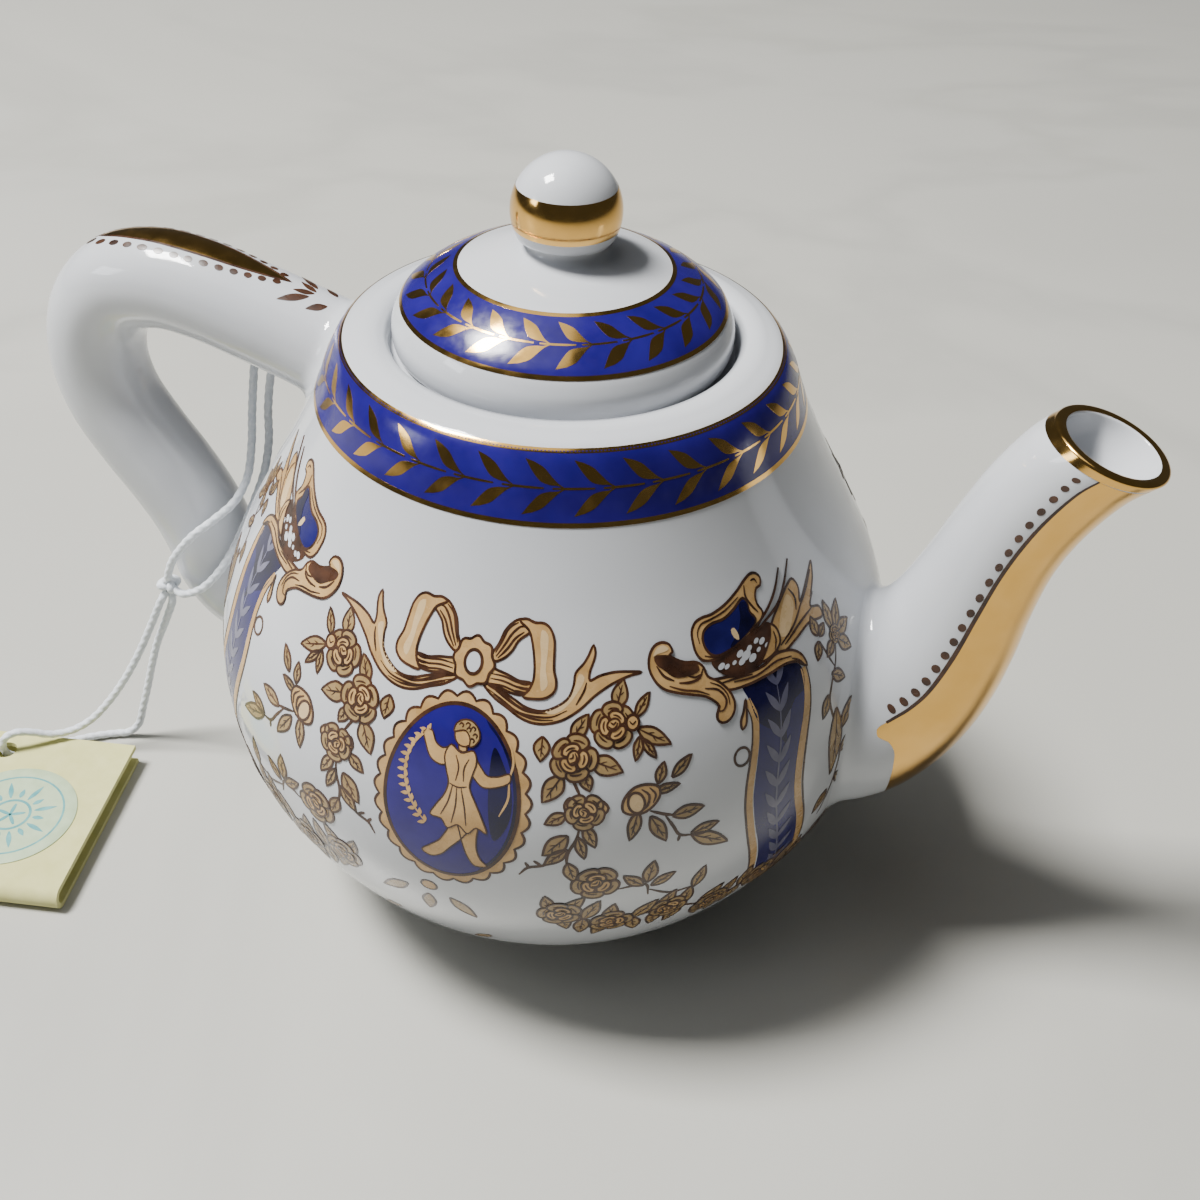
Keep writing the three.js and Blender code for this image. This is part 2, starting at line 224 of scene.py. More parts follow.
class Look:
    """A node material on a Principled shader, with patterns in the object's own coordinates."""

    def __init__(self, name, roughness, **constants):
        self.material = bpy.data.materials.new(name)
        self.material.use_nodes = True
        self.nodes = self.material.node_tree.nodes
        self.links = self.material.node_tree.links
        self.shader = self.nodes["Principled BSDF"]
        self.shader.inputs["Roughness"].default_value = roughness
        for socket, value in constants.items():
            self.shader.inputs[socket.replace("_", " ")].default_value = value
        self.place = self.nodes.new("ShaderNodeTexCoord").outputs["Object"]

    def noise(self, scale, detail=3, distortion=0.0):
        node = self.nodes.new("ShaderNodeTexNoise")
        node.inputs["Scale"].default_value = scale
        node.inputs["Detail"].default_value = detail
        node.inputs["Distortion"].default_value = distortion
        self.links.new(self.place, node.inputs["Vector"])
        return node.outputs["Fac"]

    def ramp(self, value, stops):
        node = self.nodes.new("ShaderNodeValToRGB")
        ramp = node.color_ramp
        while len(ramp.elements) < len(stops):
            ramp.elements.new(0.5)
        for element, (position, colour) in zip(ramp.elements, stops):
            element.position = position
            element.color = (*colour, 1)
        self.links.new(value, node.inputs["Fac"])
        return node.outputs["Color"]

    def colour(self, value, *stops):
        self.links.new(self.ramp(value, stops), self.shader.inputs["Base Color"])
        return self

    def rough(self, value, low, high):
        node = self.nodes.new("ShaderNodeMapRange")
        node.inputs["From Min"].default_value = NOISE_LOW
        node.inputs["From Max"].default_value = NOISE_HIGH
        node.inputs["To Min"].default_value = low
        node.inputs["To Max"].default_value = high
        self.links.new(value, node.inputs["Value"])
        self.links.new(node.outputs["Result"], self.shader.inputs["Roughness"])
        return self

    def bump(self, value, strength, depth_mm):
        node = self.nodes.new("ShaderNodeBump")
        node.inputs["Strength"].default_value = strength
        node.inputs["Distance"].default_value = depth_mm * MM
        self.links.new(value, node.inputs["Height"])
        self.links.new(node.outputs["Normal"], self.shader.inputs["Normal"])
        return self


NOISE_LOW, NOISE_HIGH = 0.3, 0.7  # most of a noise pattern's values lie between these


def make_look(name, roughness, tint, rough=None, bump=None, **constants):
    """A material from `tint` (noise, darker and lighter colour), `rough` (noise, lowest and highest
    roughness) and `bump` (noise, strength, depth in millimetres)."""
    look = Look(name, roughness, **constants)
    noise, dark, light = tint
    look.colour(look.noise(*noise), (NOISE_LOW, dark), (NOISE_HIGH, light))
    if rough:
        noise, low, high = rough
        look.rough(look.noise(*noise), low, high)
    if bump:
        noise, strength, depth = bump
        look.bump(look.noise(*noise), strength, depth)
    return look.material


def ink_look(name, roughness, tint, low, high):
    """A matt printed ink."""
    return make_look(name, roughness, tint, rough=((900, 4), low, high))


def make_looks():
    return {
        "porcelain": make_look(
            "glazed_porcelain", 0.07, ((45,), (0.530, 0.548, 0.582), (0.570, 0.585, 0.614)),
            rough=((160,), 0.05, 0.11), bump=((230, 2), 0.12, 0.03), IOR=1.5,
        ),
        "biscuit": make_look(
            "bare_foot", 0.75, ((900, 5), (0.60, 0.58, 0.53), (0.72, 0.70, 0.65)),
            bump=((2600, 4), 0.5, 0.05),
        ),
        "gold": make_look(
            "bright_gold", 0.2, ((300,), (0.74, 0.43, 0.11), (0.80, 0.48, 0.14)),
            rough=((700, 5), 0.10, 0.20), bump=((420, 4, 0.6), 0.16, 0.02), Metallic=1.0,
        ),
        "cobalt": make_look(
            "cobalt_enamel", 0.12, ((260,), (0.011, 0.004, 0.115), (0.018, 0.009, 0.170)),
            rough=((1200, 4), 0.13, 0.25), bump=((1500, 3), 0.16, 0.02), IOR=1.5,
        ),
        "shade": make_look(
            "cobalt_shading", 0.12, ((300,), (0.002, 0.002, 0.014), (0.006, 0.005, 0.050)),
            rough=((1200, 4), 0.10, 0.2), IOR=1.5,
        ),
        "navy": make_look(
            "navy_enamel", 0.14, ((300,), (0.007, 0.006, 0.070), (0.014, 0.012, 0.130)),
            rough=((1200, 4), 0.10, 0.2), IOR=1.5,
        ),
        "ochre": ink_look(
            "ochre_print", 0.28, ((420, 4), (0.40, 0.235, 0.085), (0.58, 0.365, 0.155)), 0.2, 0.36
        ),
        "pale": ink_look(
            "pale_ochre_print", 0.28, ((420, 4), (0.56, 0.39, 0.20), (0.66, 0.48, 0.27)), 0.2, 0.36
        ),
        "olive": ink_look(
            "olive_print", 0.28, ((420, 4), (0.25, 0.160, 0.065), (0.38, 0.255, 0.110)), 0.2, 0.36
        ),
        "steel": ink_look(
            "grey_blue_print", 0.2, ((420, 4), (0.085, 0.085, 0.15), (0.15, 0.145, 0.21)), 0.14, 0.26
        ),
        "line": ink_look(
            "outline_print", 0.3, ((700, 4), (0.022, 0.009, 0.005), (0.075, 0.030, 0.014)), 0.22, 0.4
        ),
        "card": make_look(
            "tag_paper", 0.8, ((500, 6), (0.54, 0.525, 0.215), (0.61, 0.59, 0.265)),
            bump=((1900, 5), 0.35, 0.05),
        ),
        "sticker": make_look(
            "sticker_paper", 0.5, ((800, 5), (0.38, 0.49, 0.30), (0.45, 0.56, 0.36)),
            rough=((500, 3), 0.4, 0.6),
        ),
        "sticker_ink": make_look(
            "sticker_ink", 0.5, ((900, 4), (0.06, 0.26, 0.28), (0.14, 0.38, 0.38))
        ),
        "cotton": make_look(
            "cotton_string", 0.85, ((2500, 4), (0.62, 0.66, 0.72), (0.80, 0.83, 0.87)),
            bump=((5200, 3), 0.6, 0.08), Sheen_Weight=0.3,
        ),
    }


looks = make_looks()

# ---- string -------------------------------------------------------------------------------------

STRING_R = 0.45
STRING_PLIES = 3
STRING_TWIST = 3.4  # millimetres of string for one whole turn of its plies
STRING_STEP = 0.16
KNOT = (-43.0, -5.3, 22.6)
KNOT_SIZE = (0.31, 0.25, 0.52)
KNOT_STRING_R = STRING_R * 0.92
KNOT_TILT = math.radians(62)
KNOT_TURN = 0.5

# From the knot over the handle's lower arm, up behind its upper arm and back to the knot.
UPPER_LOOP = [
    (-42.9, -5.4, 23.5), (-42.6, -5.7, 24.2), (-41.9, -5.7, 26.0), (-40.6, -5.7, 28.0),
    (-38.8, -5.3, 30.2), (-36.9, -3.9, 31.8), (-35.6, -1.7, 33.0), (-35.1, 0.5, 34.8),
    (-34.9, 1.8, 38.0), (-34.8, 2.7, 42.0), (-34.7, 3.8, 46.0), (-34.7, 5.2, 49.6), (-34.7, 6.0, 52.8),
    (-34.2, 6.1, 55.2), (-32.8, 6.1, 56.3), (-31.4, 6.1, 55.2), (-31.3, 6.0, 52.8), (-31.9, 5.2, 49.6),
    (-33.0, 4.4, 46.0), (-33.5, 3.7, 42.0), (-33.6, 3.1, 38.0), (-33.9, 1.9, 34.8), (-34.4, 0.1, 32.2),
    (-34.9, -1.9, 29.8), (-35.7, -3.8, 27.4), (-37.0, -5.2, 25.2), (-38.6, -5.8, 23.5),
    (-40.2, -5.9, 22.5), (-41.3, -5.9, 22.2), (-42.2, -5.6, 22.4),
]

# From the knot down to the tag, over its back edge, through its hole and back along the table.
LOWER_LOOP = [
    (-43.2, -5.6, 21.8), (-43.7, -6.1, 20.9), (-45.3, -6.7, 17.3), (-46.9, -7.6, 13.6),
    (-48.7, -8.7, 10.0), (-50.6, -10.0, 6.9), (-52.5, -11.5, 4.6), (-54.3, -13.0, 3.6),
    (-56.1, -14.5, 3.7), (-57.6, -15.6, 4.5), (-58.9, -16.6, 4.9), (-59.9, -17.4, 4.4),
    (-60.3, -17.7, 3.1), (-59.9, -17.4, 1.8), (-58.9, -16.6, 1.3), (-57.5, -15.2, 1.3),
    (-56.2, -13.4, 1.1), (-55.0, -11.8, 0.8), (-53.6, -10.4, 0.6), (-51.8, -9.2, 0.55),
    (-50.2, -8.5, 0.75), (-49.0, -8.0, 2.0), (-48.3, -7.5, 4.4), (-47.5, -6.9, 7.4),
    (-46.6, -6.4, 10.8), (-45.5, -6.0, 14.2), (-44.0, -5.7, 17.6), (-42.7, -5.6, 20.8),
    (-42.8, -5.4, 21.8),
]


def carried_frames(path):
    """Two cross directions at each point, carried along the path without spin."""
    tangents = np.gradient(path, axis=0)
    tangents /= np.linalg.norm(tangents, axis=1)[:, None]
    side = np.cross(tangents[0], (0.3, 0.2, 0.9))
    sides = []
    for t in tangents:
        side = side - t * (side @ t)
        side = side / np.linalg.norm(side)
        sides.append(side)
    sides = np.array(sides)
    return sides, np.cross(tangents, sides)


def ply_radius(angle):
    """The string's outline: round plies laid side by side."""
    wave = np.abs(np.cos(angle * STRING_PLIES / 2))
    return STRING_R * (0.80 + 0.20 * wave)


def twisted_string(path, sides=18):
    path = even(path, STRING_STEP)
    lengths = arc_lengths(path)
    across, above = carried_frames(path)
    angle = turns(sides)
    twist = lengths * 2 * math.pi / STRING_TWIST
    radius = ply_radius(angle[None] - twist[:, None])
    ring = (
        across[:, None] * (np.cos(angle)[None, :, None] * radius[..., None])
        + above[:, None] * (np.sin(angle)[None, :, None] * radius[..., None])
    )
    points = (path[:, None] + ring).reshape(-1, 3)
    faces = turned_over(grid_faces(len(path), sides) + end_caps(len(points), sides))
    return points, faces, path


def overhand_knot():
    """A small overhand knot as one closed twisted tube."""
    turn = np.linspace(0, 2 * math.pi, 80, endpoint=False)
    x = np.sin(turn) + 2 * np.sin(2 * turn)
    y = np.cos(turn) - 2 * np.cos(2 * turn)
    z = -np.sin(3 * turn)
    path = np.stack([x, y, z], -1) * KNOT_SIZE @ tilt_matrix().T + KNOT
    tangents = np.roll(path, -1, 0) - np.roll(path, 1, 0)
    tangents /= np.linalg.norm(tangents, axis=1)[:, None]
    away = path - np.array(KNOT)
    across = np.cross(tangents, away)
    across /= np.linalg.norm(across, axis=1)[:, None]
    above = np.cross(tangents, across)
    sides = 14
    angle = turns(sides)
    ring = across[:, None] * (np.cos(angle)[:, None] * KNOT_STRING_R)
    ring = ring + above[:, None] * (np.sin(angle)[:, None] * KNOT_STRING_R)
    points = (path[:, None] + ring).reshape(-1, 3)
    return points, grid_faces(len(path), sides) + closing_faces(len(path), sides)


def tilt_matrix():
    return np.array(Matrix.Rotation(KNOT_TILT, 3, "X") @ Matrix.Rotation(KNOT_TURN, 3, "Z"))


def make_string():
    cotton = looks["cotton"]
    points, faces = overhand_knot()
    knot = add_mesh("string_knot", points, faces, "pot", cotton, ["tag_string_knot"])
    for name, node, route in (
        ("string_upper_loop", "tag_string_upper", UPPER_LOOP),
        ("string_lower_loop", "tag_string_lower", LOWER_LOOP),
    ):
        points, faces, path = twisted_string(spline(route, 0.3))
        piece = add_mesh(name, points, faces, "pot", cotton, [node], crease=80)


make_string()

# ---- pot shapes ---------------------------------------------------------------------------------

BODY_PROFILE = spline(
    [
        (20.4, 2.4), (23.2, 3.9), (26.1, 6.5), (28.7, 10.2), (31.4, 15.5), (32.95, 20.8), (33.4, 26),
        (32.9, 31), (31.2, 36.6), (28.3, 42.3), (25.0, 48.2), (22.15, 54), (20.9, 57.2), (19.6, 59.2),
        (17.6, 60),
    ],
    0.5,
)
BODY_INSIDE = spline(
    [
        (13.4, 55.8), (19, 55.2), (20.2, 53), (22.9, 47.2), (26.2, 41.3), (29, 35.9), (30.8, 30.6),
        (31.2, 26), (30.7, 21.2), (29.2, 16.4), (26.7, 11.4), (24.1, 8.1), (20, 6), (14, 5.1),
    ],
    1.0,
)
GALLERY = [
    (16.6, 59.95), (15.9, 59.7), (15.55, 59.25), (15.5, 58.7), (15.3, 58.45), (15.0, 58.4),
    (12.8, 58.4), (12.5, 58.25), (12.4, 57.9), (12.4, 56.4), (12.6, 56.1),
]
LID_DOME = spline(
    [
        (14.7, 58.55), (15, 59), (15.1, 60.6), (14.75, 61.6), (14.1, 62.6), (12.4, 64), (9.66, 65.5),
        (6.6, 66.5), (4.6, 66.9), (3.75, 67.15), (3.4, 67.55), (3.35, 67.9),
    ],
    0.25,
)
KNOB_R = 4.77
KNOB_Z = 70.57
STRAINER_X = 33.4
STRAINER_Z = 27
STRAINER_PITCH = 4.4
STRAINER_R = 1.5


def strainer_cutter():
    """Seven rods through the body's wall where the spout is luted on."""
    points, faces = [], []
    spots = [(0, 0)] + [
        (STRAINER_PITCH * math.cos(k * math.pi / 3), STRAINER_PITCH * math.sin(k * math.pi / 3))
        for k in range(6)
    ]
    sides = 32
    for y, z in spots:
        first = len(points)
        for x in (STRAINER_X - 8, STRAINER_X + 4):
            for k in range(sides):
                t = k * 2 * math.pi / sides
                points.append(
                    (x, y + STRAINER_R * math.cos(t), STRAINER_Z + z + STRAINER_R * math.sin(t))
                )
        faces += grid_faces(2, sides, first) + end_caps(2 * sides, sides, first)
    return points, faces


def cut(obj, points, faces):
    """Takes a closed shape out of an object."""
    mesh = bpy.data.meshes.new("cutter")
    mesh.from_pydata([((x + AXIS_X) * MM, y * MM, z * MM) for x, y, z in points], [], faces)
    mesh.update()
    cutter = bpy.data.objects.new("cutter", mesh)
    bpy.context.scene.collection.objects.link(cutter)
    modifier = obj.modifiers.new("holes", "BOOLEAN")
    modifier.operation = "DIFFERENCE"
    modifier.solver = "EXACT"
    modifier.object = cutter
    bpy.context.view_layer.update()
    done = bpy.data.meshes.new_from_object(obj.evaluated_get(bpy.context.evaluated_depsgraph_get()))
    obj.modifiers.clear()
    obj.data = done
    bpy.data.objects.remove(cutter)
    done.set_sharp_from_angle(angle=math.radians(40))


def make_body():
    base = [(0, 3.2), (8, 3.0), (16.4, 2.6), (17.2, 2.4)]
    profile = base + BODY_PROFILE.tolist() + GALLERY + BODY_INSIDE.tolist() + [(7, 5.0), (0, 5)]
    points, faces = turned(profile)
    pot = add_mesh(
        "pot_body", points, faces, "pot", looks["porcelain"], ["body_shell"]
    )
    cut(pot, *strainer_cutter())

    foot = rounded(
        [
            (17.4, 2.4), (17.5, 0.6, 1), (17.9, 0, 1), (19.0, 0, 1), (19.4, 0.35, 1), (19.7, 1.2, 1),
            (20.0, 2.4),
        ],
        0.4,
    )
    points, faces = turned(foot, sides=192)
    add_mesh("foot", points, faces, "pot", looks["biscuit"], ["foot_ring"])


def make_lid():
    under = [
        (0, 64.6), (5, 64.2), (8.6, 63.2), (9.9, 62), (10.1, 60), (12.6, 60), (13, 59.4), (13.1, 58.6),
        (13.3, 58.5), (14.4, 58.5),
    ]
    points, faces = turned(under + LID_DOME.tolist() + [(0, 67.9)])
    add_mesh("lid_dome", points, faces, "lid", looks["porcelain"], ["lid_cap"])

    collar = rounded(
        [
            (10.4, 55.3, 1), (10.8, 54.8, 1), (11.4, 54.8, 1), (11.9, 55.4, 1), (11.9, 60), (10.4, 60),
        ],
        0.35,
    )
    points, faces = turned(collar, sides=192)
    add_mesh("lid_rim_collar", points, faces, "lid", looks["porcelain"], ["lid_collar"])

    lowest = -math.asin((KNOB_Z - 68.35) / KNOB_R)
    rise = np.linspace(lowest, math.pi / 2, 40)[:-1]
    ball = np.stack([np.cos(rise) * KNOB_R, KNOB_Z + np.sin(rise) * KNOB_R], -1)
    neck = spline([(3.35, 67.9), (3.42, 68.1), (3.75, 68.27), tuple(ball[0])], 0.12)
    profile = [(0, 67.9), *neck.tolist()[:-1], *ball.tolist(), (0, KNOB_Z + KNOB_R)]
    points, faces = turned(profile, sides=160)
    add_mesh("lid_ball", points, faces, "lid", looks["porcelain"], ["lid_knob"], crease=60)
    return np.vstack([neck[:-1], ball])


make_body()
KNOB_PROFILE = make_lid()

# ---- spout and handle ---------------------------------------------------------------------------

# Stations from inside the body out to the lip: middle (x, z), the lean of the section's normal
# from vertical towards +X in degrees, and half the width in the spout's own plane.
SPOUT_STATIONS = np.array(
    [
        (25.5, 25.3, 80, 11.6),
        (29.3, 25.6, 74, 11.1),
        (32.6, 27, 62, 10.1),
        (35.2, 29.7, 46, 8.7),
        (37.2, 33.4, 30, 7.4),
        (38.7, 37.8, 19, 6.3),
        (39.9, 42.5, 17, 5.5),
        (41.3, 47.6, 21, 5.05),
        (43.1, 52.2, 25, 4.95),
        (45.4, 56.2, 22, 4.98),
        (47.5, 58.4, 16.7, 5.15),
    ]
)
SPOUT_SLIM = 0.93
SPOUT_IN_BODY = 0.62  # the spout meets the pot before this share of its stations
SPOUT_FILLET = 1.7
HANDLE_FILLET = 1.6
HANDLE_LINE = spline(
    [
        (-17, 50.6), (-24.5, 53.2), (-31, 55), (-36.5, 56.3), (-41.3, 56.6), (-45.8, 55.3), (-49, 51.8),
        (-50.2, 47), (-49.4, 42.3), (-46.8, 37.8), (-43.9, 33.8), (-41.6, 30), (-40.2, 26.4),
        (-39.2, 22.9), (-36.9, 20.3), (-32.5, 19.3), (-27, 19.3),
    ],
    0.3,
)
HANDLE_LENGTH = arc_lengths(HANDLE_LINE)[-1]
HANDLE_TANGENTS = np.gradient(HANDLE_LINE, axis=0)
HANDLE_TANGENTS /= np.linalg.norm(HANDLE_TANGENTS, axis=1)[:, None]
HANDLE_R = 4.8
HANDLE_FLARE = 0.8


def catmull(table, t):
    """Rows of a table between its stations, for t from 0 to 1."""
    span = np.clip(t, 0, 1) * (len(table) - 1)
    i = np.clip(np.floor(span).astype(int), 0, len(table) - 2)
    f = (span - i)[..., None]
    a, b, c, d = (table[np.clip(i + k, 0, len(table) - 1)] for k in (-1, 0, 1, 2))
    return 0.5 * (
        2 * b + (c - a) * f + (2 * a - 5 * b + 4 * c - d) * f**2 + (3 * b - a - 3 * c + d) * f**3
    )


def spout_tube(t, angle, wall=0.0):
    """A point on the spout before its root is softened. Angle 0 is the outer face."""
    row = catmull(SPOUT_STATIONS, t)
    x, z, lean, r = (row[..., k] for k in range(4))
    lean = np.radians(lean)
    slim = SPOUT_SLIM + (1 - SPOUT_SLIM) * t
    u = np.cos(angle) * (r - wall)
    v = np.sin(angle) * (r - wall) * slim
    return np.stack([x + u * np.cos(lean), v, z - u * np.sin(lean)], -1)


def handle_tube(t, angle):
    """A point on the handle before its roots are softened. Angle 0 is the outer side."""
    s = np.clip(t, 0, 1) * HANDLE_LENGTH
    place = along(HANDLE_LINE, s)
    lengths = arc_lengths(HANDLE_LINE)
    dx = np.interp(s, lengths, HANDLE_TANGENTS[:, 0])
    dz = np.interp(s, lengths, HANDLE_TANGENTS[:, 1])
    ends = np.maximum(0, 1 - t / 0.14) + np.maximum(0, 1 - (1 - t) / 0.1)
    r = HANDLE_R + HANDLE_FLARE * ends**2
    out = np.cos(angle) * r
    return np.stack([place[..., 0] + dz * out, np.sin(angle) * r, place[..., 1] - dx * out], -1)


BODY_SLOPE = np.gradient(BODY_PROFILE, axis=0)
BODY_SLOPE /= np.linalg.norm(BODY_SLOPE, axis=1)[:, None]


def body_clearance(points):
    """How far points are outside the pot's surface, and the surface's normal there."""
    radius = np.hypot(points[..., 0], points[..., 1])
    z = points[..., 2]
    surface = np.interp(z, BODY_PROFILE[:, 1], BODY_PROFILE[:, 0])
    out = np.interp(z, BODY_PROFILE[:, 1], BODY_SLOPE[:, 1])
    up = -np.interp(z, BODY_PROFILE[:, 1], BODY_SLOPE[:, 0])
    unit = points[..., :2] / np.maximum(radius, 1e-9)[..., None]
    normal = np.concatenate([unit * out[..., None], up[..., None]], -1)
    return (radius - surface) * out, normal


class Root:
    """Where a tube meets the body, softened as glaze fills the corner: for each angle round the
    tube, a curve from the tube's side onto the body's surface."""

    def __init__(self, tube, low, high, radius, sides=144):
        self.tube = tube
        self.angles = np.linspace(-math.pi, math.pi, sides + 1)
        forward = 1 if low < high else -1
        t = np.linspace(low, high, 500)
        grid_t, grid_a = np.meshgrid(t, self.angles)
        clearance, _ = body_clearance(tube(grid_t, grid_a))
        inside = clearance < 0
        last = inside.shape[1] - 1 - np.argmax(inside[:, ::-1], axis=1)
        self.meet = t[last]
        q = tube(self.meet, self.angles)
        step = 1e-3 * forward
        along_tube = (tube(self.meet + step, self.angles) - q) / abs(step)
        speed = np.linalg.norm(along_tube, axis=1)
        self.reach = radius / speed
        self.clear = self.meet + forward * self.reach
        around = tube(self.meet, self.angles + 1e-3) - tube(self.meet, self.angles - 1e-3)
        out = np.cross(around, along_tube) * forward
        out *= np.sign(np.sum(out * (q - tube(self.meet, self.angles + math.pi)), -1))[:, None]
        out /= np.linalg.norm(out, axis=1)[:, None]
        _, normal = body_clearance(q)
        flat = out - normal * np.sum(out * normal, -1)[:, None]
        flat /= np.linalg.norm(flat, axis=1)[:, None]
        self.corner = q
        self.normal = normal
        self.foot = q + flat * radius
        self.forward = forward

    def at(self, name, angle):
        values = getattr(self, name)
        wrapped = (angle + math.pi) % (2 * math.pi) - math.pi
        if values.ndim == 1:
            return np.interp(wrapped, self.angles, values)
        return np.stack([np.interp(wrapped, self.angles, values[:, k]) for k in range(3)], -1)

    def point(self, share, angle):
        """A point on the softened corner, from the tube's side (share 0) to the body (share 1)."""
        a = self.tube(self.at("clear", angle), angle)
        q = self.at("corner", angle)
        c = self.at("foot", angle)
        s = share[..., None]
        p = a * (1 - s) ** 2 + 2 * q * s * (1 - s) + c * s * s
        normal = self.at("normal", angle)
        height = np.sum((p - q) * normal, -1)
        clearance, _ = body_clearance(p)
        sink = 0.05 * np.clip((share - 0.85) / 0.15, 0, 1)
        return p - normal * ((clearance - height) * share**2 + sink)[..., None]


SPOUT_ROOT = Root(spout_tube, 0.0, SPOUT_IN_BODY, SPOUT_FILLET)
HANDLE_TOP = Root(handle_tube, 0.0, 0.2, HANDLE_FILLET)
HANDLE_FOOT = Root(handle_tube, 1.0, 0.8, HANDLE_FILLET)


def softened(root, t, angle):
    """A point on a tube whose root is softened, for a t that may lie in the root."""
    clear = root.at("clear", angle)
    reach = root.at("reach", angle)
    short = (clear - t) * root.forward
    share = np.clip(short / (2 * reach), 0, 1)
    plain = root.tube(t, angle)
    soft = root.point(share, angle)
    return np.where((short > 0)[..., None], soft, plain)


def tube_rings(rows):
    """Rings of points, each closed, to points and faces."""
    sides = rows[0].shape[0]
    return np.vstack(rows), grid_faces(len(rows), sides)


SPOUT_SIDES = 128
SPOUT_WALL_LIP = 1.0
SPOUT_WALL_ROOT = 2.0
LIP_ROUND = 0.5


def lip_profile(count=9):
    """Round the lip from its outer side to its inner side: how far beyond the last station and how
    far in from the outside."""
    turn = np.linspace(0, math.pi, count)
    return [(LIP_ROUND * math.sin(a), LIP_ROUND * (1 - math.cos(a))) for a in turn]


def lip_ring(beyond, inward, angle):
    lean = math.radians(SPOUT_STATIONS[-1][2])
    ring = spout_tube(np.full(angle.shape, 1.0), angle, inward)
    return ring + np.array([math.sin(lean), 0, math.cos(lean)]) * (beyond * 0.6)


def spout_wall(t):
    return SPOUT_WALL_ROOT + (SPOUT_WALL_LIP - SPOUT_WALL_ROOT) * t


def make_spout():
    angle = turns(SPOUT_SIDES) - math.pi
    rows = [SPOUT_ROOT.point(np.full(angle.shape, s), angle) for s in np.linspace(1, 0, 10)]
    clear = SPOUT_ROOT.at("clear", angle)
    for f in np.linspace(0, 1, 90)[1:]:
        rows.append(spout_tube(clear + (1 - clear) * f, angle))
    rows += [lip_ring(beyond, inward, angle) for beyond, inward in lip_profile()[1:]]
    inner = Root(lambda t, a: spout_tube(t, a, spout_wall(t)), 0.0, SPOUT_IN_BODY, 0.5)
    root = inner.at("meet", angle) - 0.004
    for f in np.linspace(1, 0, 40)[1:]:
        t = root + (1 - root) * f
        rows.append(spout_tube(t, angle, spout_wall(t)))
    points, faces = tube_rings(rows)
    faces = turned_over(faces + closing_faces(len(rows), SPOUT_SIDES))
    add_mesh("spout_tube", points, faces, "pot", looks["porcelain"], ["spout"], crease=50)


def make_handle():
    sides = 96
    angle = turns(sides) - math.pi
    rows = [HANDLE_TOP.point(np.full(angle.shape, s), angle) for s in np.linspace(1, 0, 9)]
    start = HANDLE_TOP.at("clear", angle)
    end = HANDLE_FOOT.at("clear", angle)
    for f in np.linspace(0, 1, 150)[1:-1]:
        rows.append(handle_tube(start + (end - start) * f, angle))
    rows += [HANDLE_FOOT.point(np.full(angle.shape, s), angle) for s in np.linspace(0, 1, 9)]
    points, faces = tube_rings(rows)
    faces = turned_over(faces + end_caps(len(points), sides))
    add_mesh("handle_loop", points, faces, "pot", looks["porcelain"], ["handle"])


make_spout()
make_handle()

# ---- charts: from flat drawing to the pot's surface ---------------------------------------------


class TurnedChart:
    """A turned surface unrolled: x is the arc round it at `radius`, y the length up its profile
    from height `zero_z`."""

    def __init__(self, profile, radius, zero_z):
        self.profile = np.array(profile, float)
        self.slope = np.gradient(self.profile, axis=0)
        self.slope /= np.linalg.norm(self.slope, axis=1)[:, None]
        lengths = arc_lengths(self.profile)
        self.lengths = lengths - np.interp(zero_z, self.profile[:, 1], lengths)
        self.radius = radius

    def lay(self, flat, height):
        r = np.interp(flat[:, 1], self.lengths, self.profile[:, 0])
        z = np.interp(flat[:, 1], self.lengths, self.profile[:, 1])
        out = np.interp(flat[:, 1], self.lengths, self.slope[:, 1])
        up = -np.interp(flat[:, 1], self.lengths, self.slope[:, 0])
        turn = flat[:, 0] / self.radius
        normal = np.stack([np.sin(turn) * out, -np.cos(turn) * out, up], -1)
        place = np.stack([np.sin(turn) * r, -np.cos(turn) * r, z], -1)
        return place + normal * height, normal


class TubeChart:
    """A tube unrolled: x is t times `length`, y the angle round the tube times `radius`."""

    def __init__(self, surface, length, radius):
        self.surface = surface
        self.length = length
        self.radius = radius

    def lay(self, flat, height):
        t = flat[:, 0] / self.length
        angle = flat[:, 1] / self.radius
        step = 2e-4
        place = self.surface(t, angle)
        along_t = self.surface(t + step, angle) - self.surface(t - step, angle)
        around = self.surface(t, angle + step) - self.surface(t, angle - step)
        normal = -np.cross(along_t, around)
        normal /= np.maximum(np.linalg.norm(normal, axis=1), 1e-12)[:, None]
        return place + normal * height, normal


SPOUT_LENGTH = 45.0
BELLY_R = 33.4
BODY_CHART = TurnedChart(BODY_PROFILE, BELLY_R, 26)
LID_CHART = TurnedChart(LID_DOME, 14.2, 62.5)
KNOB_CHART = TurnedChart(KNOB_PROFILE, KNOB_R, KNOB_Z)
SPOUT_CHART = TubeChart(lambda t, a: softened(SPOUT_ROOT, t, a), SPOUT_LENGTH, 6.0)
HANDLE_CHART = TubeChart(lambda t, a: softened(HANDLE_TOP, t, a), HANDLE_LENGTH, HANDLE_R)

# ---- drawing ------------------------------------------------------------------------------------

LINE = 0.24  # width of the printed outlines
FIRST_LAYER = 0.015  # thickness of the lowest ink, and of each one printed over it
LAYER = 0.010
SUNK = 0.012  # how far a layer's underside lies below the glaze


